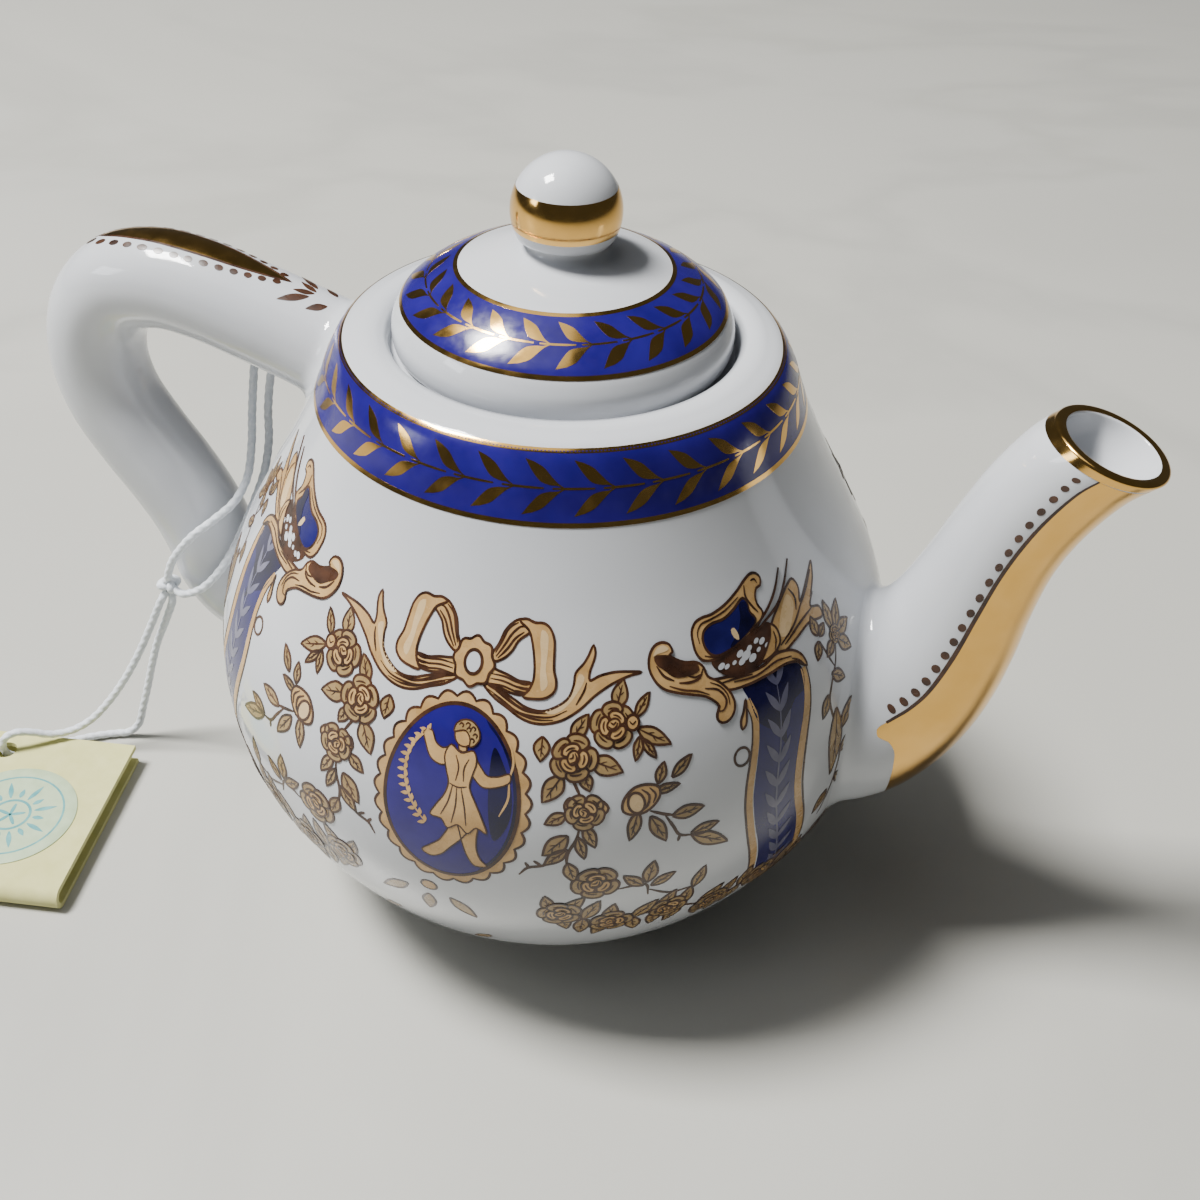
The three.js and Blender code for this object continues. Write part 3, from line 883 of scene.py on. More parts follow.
class Drawing:
    """Filled outlines and drawn lines, flat, in millimetres. A higher level lies on a lower one."""

    def __init__(self):
        self.shapes = []

    def fill(self, outline, ink, level=0, smooth=True):
        points = spline(outline, 0.4, closed=True) if smooth else np.array(outline, float)
        self.shapes.append(("fill", points, ink, level, None))

    def line(self, points, ink="line", level=1, width=LINE, closed=False, taper=0.45, smooth=True):
        points = spline(points, 0.35, closed) if smooth else np.array(points, float)
        self.shapes.append(("line", points, ink, level, (width, closed, taper)))

    def shape(self, outline, ink="ochre", level=0, smooth=True, width=LINE):
        """A filled outline with a drawn edge."""
        self.fill(outline, ink, level, smooth)
        self.line(outline, "line", level + 1, width, closed=True, smooth=smooth)

    def add(self, other, level=0, x=0, y=0, turn=0, size=1.0, mirror=False):
        """Another drawing, placed in this one."""
        c, s = math.cos(turn) * size, math.sin(turn) * size
        flip = -1 if mirror else 1
        for kind, points, ink, own, extra in other.shapes:
            px, py = points[:, 0] * flip, points[:, 1]
            moved = np.stack([x + px * c - py * s, y + px * s + py * c], -1)
            if extra:
                width, closed, taper = extra
                self.shapes.append((kind, moved, ink, own + level, (width * size, closed, taper)))
            else:
                self.shapes.append((kind, moved, ink, own + level, None))


def inside_outline(outline, spots):
    """Which spots lie inside a closed outline."""
    x, y = spots[:, 0], spots[:, 1]
    found = np.zeros(len(spots), bool)
    a = outline
    b = np.roll(outline, -1, 0)
    for (x0, y0), (x1, y1) in zip(a.tolist(), b.tolist()):
        if y0 == y1:
            continue
        crosses = ((y0 > y) != (y1 > y)) & (x < (x1 - x0) * (y - y0) / (y1 - y0) + x0)
        found ^= crosses
    return found


def fill_triangles(outline, spacing=0.9):
    """Triangles over an outline, with points inside it so that they follow a curved surface."""
    low, high = outline.min(0), outline.max(0)
    xs = np.arange(low[0] + spacing / 2, high[0], spacing)
    ys = np.arange(low[1] + spacing / 2, high[1], spacing)
    spots = np.stack(np.meshgrid(xs, ys), -1).reshape(-1, 2)
    if len(spots):
        spots = spots[inside_outline(outline, spots)]
    if len(spots):
        gap = np.linalg.norm(spots[:, None] - outline[None], axis=2).min(1)
        spots = spots[gap > spacing * 0.35]
    every = np.vstack([outline, spots]) if len(spots) else outline
    points, _, faces, _, _, _ = delaunay_2d_cdt(
        [Vector(p) for p in every.tolist()], [], [list(range(len(outline)))], 1, 1e-5
    )
    return np.array([tuple(p) for p in points]), [tuple(f) for f in faces]


def ribbon_quads(points, width, closed, taper):
    """Quads along a line of a given width, thinner towards its ends unless it is closed."""
    if closed:
        before, after = np.roll(points, 1, 0), np.roll(points, -1, 0)
        share = np.ones(len(points))
    else:
        before = np.vstack([points[:1], points[:-1]])
        after = np.vstack([points[1:], points[-1:]])
        s = arc_lengths(points)
        ends = np.minimum(s, s[-1] - s) / max(0.3 * s[-1], 1e-6)
        share = taper + (1 - taper) * np.clip(ends, 0, 1)
    tangent = after - before
    tangent /= np.maximum(np.linalg.norm(tangent, axis=1), 1e-9)[:, None]
    side = np.stack([-tangent[:, 1], tangent[:, 0]], -1) * (width / 2 * share)[:, None]
    count = len(points)
    every = np.vstack([points + side, points - side])
    last = count if closed else count - 1
    faces = [
        (i + count, (i + 1) % count + count, (i + 1) % count, i) for i in range(last)
    ]
    return every, faces


class Print:
    """Collects laid ink and makes one piece of each kind."""

    def __init__(self):
        self.pieces = {}

    def lay(self, drawing, chart, place, piece, spacing=0.9):
        for kind, points, ink, level, extra in drawing.shapes:
            flat = place(points)
            if kind == "fill":
                flat, faces = fill_triangles(flat, spacing)
            else:
                flat, faces = ribbon_quads(flat, *extra)
            if len(faces):
                self.thicken(chart, flat, faces, FIRST_LAYER + LAYER * level, (piece, ink))

    def thicken(self, chart, flat, faces, height, key):
        """A thin closed layer on the surface from flat faces."""
        top, normal = chart.lay(flat, height)
        under, _ = chart.lay(flat, -SUNK)
        points, normals, made = self.pieces.setdefault(key, ([], [], []))
        first = sum(len(p) for p in points)
        count = len(flat)
        edges = {}
        for face in faces:
            for a, b in zip(face, face[1:] + face[:1]):
                edges[(a, b)] = True
        a, b, c = (top[[face[k] for face in faces]] for k in range(3))
        outward = (np.cross(b - a, c - a) * normal[[face[0] for face in faces]]).sum()
        for face in faces:
            up = [first + i for i in face]
            down = [first + count + i for i in reversed(face)]
            made.append(tuple(up if outward > 0 else reversed(up)))
            made.append(tuple(down if outward > 0 else reversed(down)))
        for a, b in edges:
            if (b, a) not in edges:
                side = (first + b, first + a, first + count + a, first + count + b)
                made.append(side if outward > 0 else tuple(reversed(side)))
        points += [top, under]
        normals += [normal, normal]

    def make(self, bodies):
        for (piece, ink), (points, normals, faces) in self.pieces.items():
            add_mesh(
                f"{piece}_{ink}",
                np.vstack(points),
                faces,
                bodies[piece],
                looks[ink],
                normals=np.vstack(normals),
            )


def circle(x, y, rx, ry=None, count=24, turn=0.0):
    ry = rx if ry is None else ry
    a = turns(count)
    c, s = math.cos(turn), math.sin(turn)
    px, py = rx * np.cos(a), ry * np.sin(a)
    return np.stack([x + px * c - py * s, y + px * s + py * c], -1)


def leaf_outline(base, tip, width):
    """A pointed leaf from its stalk to its tip."""
    base, tip = np.array(base, float), np.array(tip, float)
    ahead = tip - base
    side = np.array([-ahead[1], ahead[0]]) / np.linalg.norm(ahead)
    shares = [(0.0, 0.10), (0.15, 0.62), (0.38, 1.0), (0.62, 0.86), (0.84, 0.42), (1.0, 0.0)]
    left = [base + ahead * s + side * (width / 2 * w) for s, w in shares]
    right = [base + ahead * s - side * (width / 2 * w) for s, w in shares[:-1]]
    return left, right


def add_plain_leaf(drawing, base, tip, width, ink, level):
    """A leaf without an edge or veins."""
    left, right = leaf_outline(base, tip, width)
    drawing.fill(left + right[::-1], ink, level)


def add_leaf(drawing, base, tip, width, level, veins=True):
    left, right = leaf_outline(base, tip, width)
    outline = np.vstack([spline(left, 0.3), spline(right, 0.3)[::-1]])
    drawing.shape(outline, "olive", level, smooth=False, width=LINE * 0.95)
    if not veins:
        return
    base, tip = np.array(base, float), np.array(tip, float)
    ahead = tip - base
    side = np.array([-ahead[1], ahead[0]]) / np.linalg.norm(ahead)
    drawing.line([base, base + ahead * 0.8], level=level + 1, width=LINE * 0.7)
    for s, flip in ((0.28, 1), (0.42, -1), (0.58, 1)):
        start = base + ahead * s
        end = start + ahead * 0.17 + side * width * 0.22 * flip
        drawing.line([start, end], level=level + 1, width=LINE * 0.5)


ROSE_R = 5  # the rose is drawn at this radius and scaled down


def petal(turn, inner, outer, spread):
    """One cupped petal between two radii, about a direction; angles in radians."""
    shape = []
    for share, r in ((-1, 0.4), (-0.95, 0.75), (-0.6, 0.97), (0, 1.03), (0.6, 0.97), (0.95, 0.75), (1, 0.4)):
        a = turn + share * spread
        r = inner + (outer - inner) * r
        shape.append((r * math.cos(a), r * math.sin(a)))
    shape.append((inner * 0.6 * math.cos(turn), inner * 0.6 * math.sin(turn)))
    return shape


def arc(turn, spread, radius, count=5):
    return [
        (radius * math.cos(turn + spread * f), radius * math.sin(turn + spread * f))
        for f in np.linspace(-1, 1, count)
    ]


def rose_drawing():
    """A full-blown rose, face on."""
    rose = Drawing()
    for k, (turn, outer) in enumerate(((0.3, 5.0), (1.45, 4.8), (2.7, 5.1), (3.9, 4.9), (5.15, 5.0))):
        rose.shape(petal(turn, 1.6, outer, 0.66), "olive", 2 * (k % 2), width=0.55)
        rose.line(arc(turn - 0.1, 0.36, outer * 0.74), level=2 * (k % 2) + 1, width=0.42)
        rose.line(arc(turn + 0.15, 0.26, outer * 0.58), level=2 * (k % 2) + 1, width=0.5)
    for turn in (0.9, 3.0, 5.1):
        rose.shape(petal(turn, 0.6, 3.1, 0.95), level=4, width=0.5)
        rose.line(arc(turn, 0.5, 2.2), level=5, width=0.42)
    rose.shape(circle(0.1, 0.2, 1.5, 1.2, 12, 0.3), level=6, width=0.45)
    rose.line([(-1.1, 0.1), (-0.4, -0.6), (0.5, -0.4), (1.1, 0.4)], level=8, width=0.45)
    rose.line([(-0.5, 0.8), (0.1, 0.3), (0.8, 0.7)], level=8, width=0.4)
    return rose


ROSE = rose_drawing()


def add_rose(drawing, x, y, radius, turn, level):
    drawing.add(ROSE, level, x, y, turn, radius / ROSE_R)


# ---- bands of laurel ----------------------------------------------------------------------------


BAND_PARTS = 12  # a band is laid in this many strips


def laurel_pair(length, reach, width):
    """Two laurel leaves on a vine along y = 0, whose tips point to -x."""
    pair = Drawing()
    for side in (1, -1):
        base = np.array([length * 0.36, 0.0])
        tip = np.array([-length * 0.5, reach * side])
        ahead = tip - base
        across = np.array([-ahead[1], ahead[0]]) / np.linalg.norm(ahead) * side
        left, right = [], []
        for s, w, bow in (
            (0, 0.07, 0), (0.16, 0.16, 0.05), (0.34, 0.62, 0.12),
            (0.55, 1, 0.1), (0.78, 0.66, 0), (1, 0, -0.1),
        ):
            spine = base + ahead * s + across * bow * width
            left.append(spine + across * width / 2 * w)
            right.append(spine - across * width / 2 * w)
        outline = np.vstack([spline(left, 0.3), spline(right[:-1], 0.3)[::-1]])
        pair.fill(outline, "gold", 3, smooth=False)
    return pair


def strip(x0, x1, y0, y1, step=0.5):
    """A rectangle with points along its edges, so that it bends round the pot."""
    xs = np.linspace(x0, x1, max(2, math.ceil((x1 - x0) / step) + 1))
    ys = np.linspace(y0, y1, max(2, math.ceil((y1 - y0) / step) + 1))
    low = [(x, y0) for x in xs]
    right = [(x1, y) for y in ys[1:]]
    high = [(x, y1) for x in xs[::-1][1:]]
    left = [(x0, y) for y in ys[::-1][1:-1]]
    return low + right + high + left


def laurel_band(around, low, high, pairs, edge, leaf_length, leaf_width):
    """A cobalt band between gold lines, with laurel leaves all the way round."""
    band = Drawing()
    for k in range(BAND_PARTS):
        x0, x1 = around * k / BAND_PARTS, around * (k + 1) / BAND_PARTS
        band.fill(strip(x0, x1, low, high), "cobalt", 2, smooth=False)
        for y in (low, high):
            band.fill(strip(x0, x1, y - edge / 2, y + edge / 2), "gold", 3, smooth=False)
    middle = (low + high) / 2
    pair = laurel_pair(leaf_length, (high - low) * 0.36, leaf_width)
    for k in range(pairs):
        x = around * (k + 0.5) / pairs
        band.add(pair, x=x, y=middle)
        vine = [(x + leaf_length * s, middle) for s in (0.1, 0.5, 0.95)]
        band.line(vine, "gold", 3, 0.2, taper=0.7)
    return band


def same(points):
    return points


def chart_y(chart, z):
    return float(np.interp(z, chart.profile[:, 1], chart.lengths))


# chart, piece, lowest and highest z, pairs of leaves, gold edge, leaf length and width, spacing
LAUREL_BANDS = (
    (BODY_CHART, "body", 53.9, 59.2, 33, 0.42, 6.2, 1.15, 0.5),
    (LID_CHART, "lid", 62.5, 65.6, 22, 0.4, 4.1, 1.2, 0.4),
)
KNOB_BAND_Z = (69.3, 72.7)


def print_bands(ink):
    for chart, piece, low_z, high_z, *leaves, spacing in LAUREL_BANDS:
        around = 2 * math.pi * chart.radius
        low, high = chart_y(chart, low_z), chart_y(chart, high_z)
        ink.lay(laurel_band(around, low, high, *leaves), chart, same, piece, spacing)

    around = 2 * math.pi * KNOB_CHART.radius
    low, high = (chart_y(KNOB_CHART, z) for z in KNOB_BAND_Z)
    knob = Drawing()
    for k in range(BAND_PARTS):
        x0, x1 = around * k / BAND_PARTS, around * (k + 1) / BAND_PARTS
        knob.fill(strip(x0, x1, low, high, 0.3), "gold", 0, smooth=False)
    ink.lay(knob, KNOB_CHART, same, "lid", 0.3)


# ---- the front's printed motif, drawn from the middle of its medallion ---------------------------


def scalloped_oval(rx, ry, lobes, depth, count_per_lobe=8):
    """An oval edged with outward scallops."""
    turn = turns(720)
    oval = np.stack([rx * np.cos(turn), ry * np.sin(turn)], -1)
    oval = np.vstack([oval, oval[:1]])
    lengths = arc_lengths(oval)
    share = np.arange(lobes * count_per_lobe) / (lobes * count_per_lobe)
    p = along(oval, share * lengths[-1])
    normal = p / np.array([rx * rx, ry * ry])
    normal /= np.linalg.norm(normal, axis=1)[:, None]
    bulge = np.abs(np.sin(share * lobes * math.pi)) - 0.5
    return p + normal * (bulge * depth)[:, None]


def draw_medallion():
    m = Drawing()
    edge = scalloped_oval(6.85, 9.45, 26, 0.5)
    m.shape(edge, "ochre", 0, smooth=False, width=0.24)
    oval = circle(0, 0, 6.0, 8.6, 90)
    m.fill(oval, "cobalt", 2, smooth=False)
    m.line(oval, "line", 3, 0.34, closed=True, smooth=False)
    inner = [(5.0 * math.cos(a) + 0.55, 7.9 * math.sin(a)) for a in np.linspace(1.15, -1.0, 14)]
    outer = [(5.85 * math.cos(a), 8.4 * math.sin(a)) for a in np.linspace(-1.0, 1.2, 14)]
    m.fill(inner + outer, "shade", 3, smooth=False)
    m.fill([(3.3, 5.6), (4.4, 4.0), (5.3, 1.5), (5.2, -1.4), (4.2, -3.2), (3.4, 0.0)], "shade", 3)
    return m


def draw_figure():
    """A dancer in a short tunic with a garland, seen at a distance and without features."""
    f = Drawing()
    parts = (
        ("ochre", 4, [(0.6, -2.2), (0.0, -3.4), (-0.5, -4.5), (-1.3, -5.4), (-2.0, -6.3), (-1.2, -6.7),
                   (-0.3, -6.2), (0.6, -4.9), (1.5, -3.6), (2.1, -2.2)]),
        ("ochre", 4, [(2.6, -2.0), (2.7, -3.4), (2.8, -4.6), (3.2, -5.7), (3.8, -6.4), (2.8, -6.6),
                   (2.1, -5.7), (1.6, -4.4), (1.2, -3.0), (1.0, -2.0)]),
        ("ochre", 4, [(-0.2, 3.8), (-1.1, 3.0), (-2.2, 3.3), (-2.9, 4.4), (-3.3, 5.4), (-2.6, 5.7),
                   (-2.0, 4.8), (-1.3, 4.5), (-0.3, 5.0)]),
        ("ochre", 4, [(1.5, 4.5), (2.3, 3.7), (3.0, 3.0), (3.9, 3.1), (4.9, 3.5), (5.0, 2.8),
                   (3.9, 2.1), (2.7, 1.9), (1.8, 2.6), (1.1, 3.4)]),
        ("ochre", 6, [(-0.6, 5.0), (0.4, 4.5), (1.5, 4.9), (1.9, 4.0), (1.7, 2.8), (1.6, 1.6),
                    (2.3, 0.2), (3.0, -1.2), (3.5, -2.6), (2.6, -2.2), (1.9, -3.0), (1.0, -2.3),
                    (0.1, -2.9), (-0.5, -2.1), (-1.5, -2.0), (-1.1, -0.8), (-0.5, 0.4),
                    (-0.3, 1.6), (-0.7, 2.8), (-1.0, 4.0)]),
        ("ochre", 6, [(0.2, 4.7), (0.15, 5.4), (0.75, 5.4), (0.8, 4.7)]),
        ("ochre", 8, circle(0.45, 6.15, 0.9, 1.05, 12)),
        ("olive", 10, [(-0.55, 6.2), (-0.45, 6.9), (0.1, 7.35), (0.9, 7.4), (1.6, 6.9), (1.85, 6.1),
                       (1.5, 5.4), (1.1, 5.2), (1.0, 5.9), (0.5, 6.5), (0.0, 6.4)]),
    )
    for ink, level, outline in parts:
        f.fill(outline, ink, level)
        f.line(outline, "line", level + 1, 0.13, closed=True)
    for fold in (
        [(0.1, 1.4), (-0.1, -0.2), (-0.6, -1.7)],
        [(0.5, 1.3), (0.6, -0.4), (0.4, -2.3)],
        [(0.9, 1.3), (1.4, -0.5), (1.7, -2.2)],
        [(0.0, 4.2), (0.4, 3.2), (0.3, 1.9)],
        [(1.2, 4.1), (0.9, 3.2), (1.0, 2.0)],
        [(-0.2, 1.55), (0.6, 1.35), (1.35, 1.6)],
    ):
        f.line(fold, "line", 7, 0.14)
    for x, y in ((0.0, 6.85), (0.6, 7.0), (1.15, 6.75), (1.4, 6.2), (0.75, 6.6), (1.2, 5.75)):
        curl = [(x - 0.2, y), (x - 0.05, y + 0.2), (x + 0.2, y + 0.1), (x + 0.12, y - 0.15)]
        f.line(curl, level=12, width=0.15)
    garland = [(-3.0, 5.5), (-4.0, 4.0), (-4.4, 2.0), (-4.0, 0.0), (-3.0, -1.8), (-1.9, -3.0)]
    f.line(garland, "ochre", 4, 0.2)
    spine = even(spline(garland, 0.2), 0.75)
    for i, (x, y) in enumerate(spine.tolist()):
        for side in (1, -1):
            turn = 2.2 + 0.5 * i / len(spine) + side * 0.9
            tip = (x + 0.75 * math.cos(turn), y + 0.75 * math.sin(turn))
            add_plain_leaf(f, (x, y), tip, 0.36, "ochre", 5)
    f.line([(4.9, 3.0), (5.1, 4.6), (4.7, 6.0)], "ochre", 4, 0.2)
    f.line([(4.9, 3.0), (5.0, 1.2), (4.4, -0.6)], "ochre", 4, 0.2)
    return f


def draw_bow_half():
    """The right half of the bow and its ribbon tail."""
    b = Drawing()
    back = [(1.7, 13.2), (2.2, 14.2), (2.6, 15.3), (3.3, 16.1), (4.1, 16.5), (4.9, 16.3), (5.2, 15.6),
            (4.7, 15.2), (4.1, 14.7), (3.6, 13.8), (2.9, 13.1), (2.0, 12.7)]
    low = [(1.7, 12.1), (2.6, 12.0), (3.6, 11.8), (4.6, 11.5), (5.9, 11.4), (5.9, 10.8), (5.2, 10.4),
           (4.0, 10.4), (2.8, 10.7), (1.5, 10.9)]
    front = [(4.0, 16.4), (4.7, 16.6), (5.6, 16.4), (6.5, 16.45), (7.2, 16.1), (7.7, 15.2), (7.8, 14.1),
             (7.9, 12.7), (8.2, 11.8), (8.1, 11.0), (7.4, 10.4), (6.4, 10.2), (5.2, 10.25),
             (5.7, 10.9), (6.0, 11.7), (6.0, 12.7), (5.8, 13.8), (5.5, 14.8), (5.05, 15.7)]
    tail = [(1.3, 10.7), (2.4, 10.6), (4.2, 10.0), (5.6, 9.4), (7.1, 9.25), (8.5, 9.8), (9.5, 10.6),
            (9.9, 11.7), (10.0, 12.6), (10.8, 13.5), (11.2, 14.1), (11.7, 15.0), (11.9, 14.4),
            (11.75, 13.7), (11.4, 12.8), (11.4, 12.1), (12.4, 12.5), (13.9, 12.8), (15.2, 12.8),
            (16.5, 12.7), (15.3, 12.45), (14.0, 12.0), (13.0, 11.5), (11.8, 10.7), (10.8, 9.8),
            (9.9, 9.15), (8.9, 8.6), (7.4, 8.2), (6.2, 8.2), (5.1, 8.5), (3.9, 9.1), (2.4, 9.8)]
    b.shape(tail, "ochre", 0)
    for line in (
        [(1.8, 10.6), (3.4, 10.1), (5.0, 9.35), (6.4, 9.05), (7.6, 9.1)],
        [(1.8, 10.35), (3.2, 9.75), (4.8, 8.95), (6.2, 8.75), (8.0, 8.85), (9.4, 9.5)],
        [(2.6, 10.3), (4.2, 9.6), (5.6, 9.1), (6.8, 9.0)],
        [(2.4, 10.0), (4.0, 9.25), (5.4, 8.7), (6.8, 8.5), (8.2, 8.6)],
    ):
        b.line(line, level=2, width=0.19, taper=0.3)
    b.line([(10.2, 10.0), (10.9, 11.2), (11.1, 11.9)], level=2, width=0.2)
    b.fill([(7.4, 9.2), (8.6, 9.9), (9.9, 11.3), (10.4, 12.6), (10.9, 12.3), (10.2, 10.9),
            (9.2, 9.7), (8.2, 9.1)], "pale", 1)
    b.shape(back, "ochre", 2)
    for line in (
        [(2.1, 13.1), (2.8, 14.2), (3.4, 15.2), (4.2, 15.9), (4.9, 15.9)],
        [(2.3, 13.0), (3.1, 13.9), (3.8, 14.9), (4.6, 15.5)],
        [(2.0, 13.4), (2.5, 14.5), (3.0, 15.6), (3.9, 16.2)],
    ):
        b.line(line, level=3, width=0.24)
    b.shape(low, "ochre", 2)
    for y in (11.65, 11.25, 10.85):
        b.line([(1.9, y), (3.2, y - 0.02), (4.6, y - 0.3), (5.7, y - 0.35)], level=3, width=0.18)
    for y in (11.5, 11.1, 10.75):
        b.line([(4.4, y - 0.1), (5.2, y - 0.2), (5.9, y - 0.1)], level=3, width=0.26)
    b.shape(front, "ochre", 4)
    b.fill([(6.4, 15.9), (7.0, 15.6), (7.15, 14.2), (7.1, 12.8), (7.4, 11.4), (6.9, 10.9),
            (6.6, 12.2), (6.55, 13.6), (6.3, 15.0)], "pale", 5)
    return b


def draw_bow_knot():
    k = Drawing()
    turn = turns(64)
    r = 1.98 + 0.13 * np.cos(8 * turn)
    rosette = np.stack([r * np.sin(turn), 12.3 + r * 1.02 * np.cos(turn)], -1)
    k.shape(rosette, "ochre", 6, smooth=False)
    hole = circle(0, 12.25, 0.85, 1.0, 24)
    k.fill(hole, "porcelain", 8)
    k.line(hole, "line", 9, 0.3, closed=True)
    return k


GARLAND_LEAVES = (
    # stalk, tip, width, level
    ((14.0, 9.8), (14.7, 12.2), 1.5, 0),
    ((15.8, 9.0), (17.2, 11.0), 0.95, 2),
    ((16.0, 8.0), (19.1, 6.4), 1.35, 2),
    ((16.2, 7.3), (15.8, 5.2), 0.85, 2),
    ((16.4, 7.1), (17.7, 5.3), 0.75, 2),
    ((10.0, 7.1), (11.4, 9.3), 1.35, 2),
    ((7.4, 7.1), (7.4, 5.0), 1.4, 2),
    ((11.8, 5.4), (14.7, 4.3), 1.75, 2),
    ((11.2, 4.2), (11.9, 2.6), 1.1, 2),
    ((9.4, 3.9), (7.9, 1.3), 1.7, 2),
    ((10.0, 0.3), (8.3, -0.8), 1.15, 2),
    ((11.7, -0.8), (12.8, -3.1), 1.05, 2),
    ((11.2, -2.0), (12.0, -4.4), 0.9, 2),
    ((10.3, -1.9), (8.4, -4.2), 1.6, 2),
    ((10.4, -3.4), (8.6, -5.3), 1.1, 2),
    ((10.6, -5.0), (11.4, -7.3), 1.2, 2),
    ((17.9, 3.0), (18.4, 4.9), 0.95, 2),
    ((19.2, 3.4), (21.0, 5.2), 0.95, 2),
    ((17.6, 2.2), (19.9, 2.7), 0.8, 2),
    ((16.2, 0.4), (15.7, -2.5), 1.1, 2),
    ((17.4, -0.2), (19.0, -3.0), 1.25, 2),
    ((19.4, -0.4), (22.3, 0.0), 1.25, 2),
    ((21.3, -2.7), (23.9, -2.1), 1.05, 2),
    ((21.4, -2.9), (25.2, -4.9), 1.4, 2),
    ((17.9, -8.0), (18.2, -5.2), 1.3, 2),
    ((17.6, -8.4), (15.6, -6.8), 1.1, 2),
    ((18.4, -8.6), (20.4, -7.2), 1.1, 2),
    ((9.6, -12.0), (9.0, -9.6), 1.2, 2),
    ((22.8, -10.4), (23.4, -7.4), 1.2, 2),
)
GARLAND_STEMS = (
    [(10.2, 3.9), (10.7, 2.9), (11.1, 2.1)],
    [(11.3, -0.7), (11.1, -2.2), (10.5, -3.9), (10.6, -5.8)],
    [(9.4, -4.9), (8.3, -5.5), (7.3, -5.8), (6.6, -6.8)],
    [(8.4, -5.4), (7.7, -4.9)],
    [(7.4, -5.8), (7.0, -5.2)],
    [(17.3, 0.4), (18.6, -0.1), (19.6, -0.4)],
    [(18.6, -0.1), (19.5, -1.5), (20.2, -2.6), (21.6, -2.9)],
    [(20.2, -2.6), (20.1, -3.3)],
    [(15.3, -8.6), (17.8, -8.3), (18.3, -10.0)],
    [(18.3, -9.2), (20.6, -10.4), (22.9, -10.2)],
)
GARLAND_ROSES = (
    # x, y, radius, turn
    (13.7, 8.35, 2.05, 0.2),
    (10.3, 5.5, 2.1, 1.1),
    (11.6, 0.6, 1.75, 2.0),
    (13.3, -7.6, 2.1, 0.7),
)
WREATH_ROSES = (
    (10.6, -12.6, 2.0, 0.4),
    (15.6, -14.6, 2.1, 1.3),
    (21.0, -13.4, 1.9, 2.2),
    (26.2, -15.2, 2.1, 0.9),
    (31.4, -13.6, 2.0, 1.8),
    (36.8, -14.8, 2.1, 0.1),
    (41.0, -13.2, 1.9, 1.0),
)


def draw_garland():
    g = Drawing()
    for stem in GARLAND_STEMS:
        g.line(stem, level=1, width=0.3)
    for stalk, tip, width, level in GARLAND_LEAVES:
        add_leaf(g, stalk, tip, width, level)
    for x, y, radius, turn in GARLAND_ROSES:
        add_rose(g, x, y, radius, turn, 4)
    g.shape(circle(15.5, 8.55, 0.6, 0.65, 12), "ochre", 8)
    g.line([(15.2, 8.7), (15.5, 8.4), (15.8, 8.7)], level=10, width=0.14)
    g.shape([(10.2, 1.9), (9.8, 1.2), (10.1, 0.5), (10.7, 0.7), (10.8, 1.6)], "ochre", 3)
    g.shape([(12.9, 1.7), (13.6, 1.0), (13.3, 0.4), (12.7, 0.6), (12.6, 1.3)], "ochre", 3)
    bud = [(15.1, 2.1), (15.8, 2.8), (16.9, 3.0), (17.9, 2.7), (18.1, 1.9), (17.7, 1.1), (16.9, 0.4),
           (15.8, 0.2), (14.9, 0.6), (14.8, 1.4)]
    g.shape(bud, "ochre", 4)
    g.shape(circle(16.0, 1.35, 0.72, 1.0, 14, 0.3), "pale", 6)
    g.line([(16.4, 2.6), (17.1, 2.0), (17.0, 1.0), (16.5, 0.5)], level=6, width=0.24)
    g.line([(17.1, 2.7), (17.7, 2.0), (17.5, 1.2)], level=6, width=0.2)
    return g


def draw_wreath():
    """Roses and leaves low on the pot, out of the photograph's focus."""
    w = Drawing()
    path = [(x, y) for x, y, _, _ in WREATH_ROSES]
    w.line(path, level=1, width=0.34)
    spine = even(spline(path, 0.3), 2.6)
    for i, (x, y) in enumerate(spine.tolist()):
        for side in (1, -1):
            turn = side * (1.15 + 0.25 * (i % 3)) - 0.15
            tip = (x + 3.6 * math.cos(turn), y + 3.6 * math.sin(turn))
            add_leaf(w, (x, y), tip, 1.45, 2)
    for x, y, radius, turn in WREATH_ROSES:
        add_rose(w, x, y, radius, turn, 4)
    return w


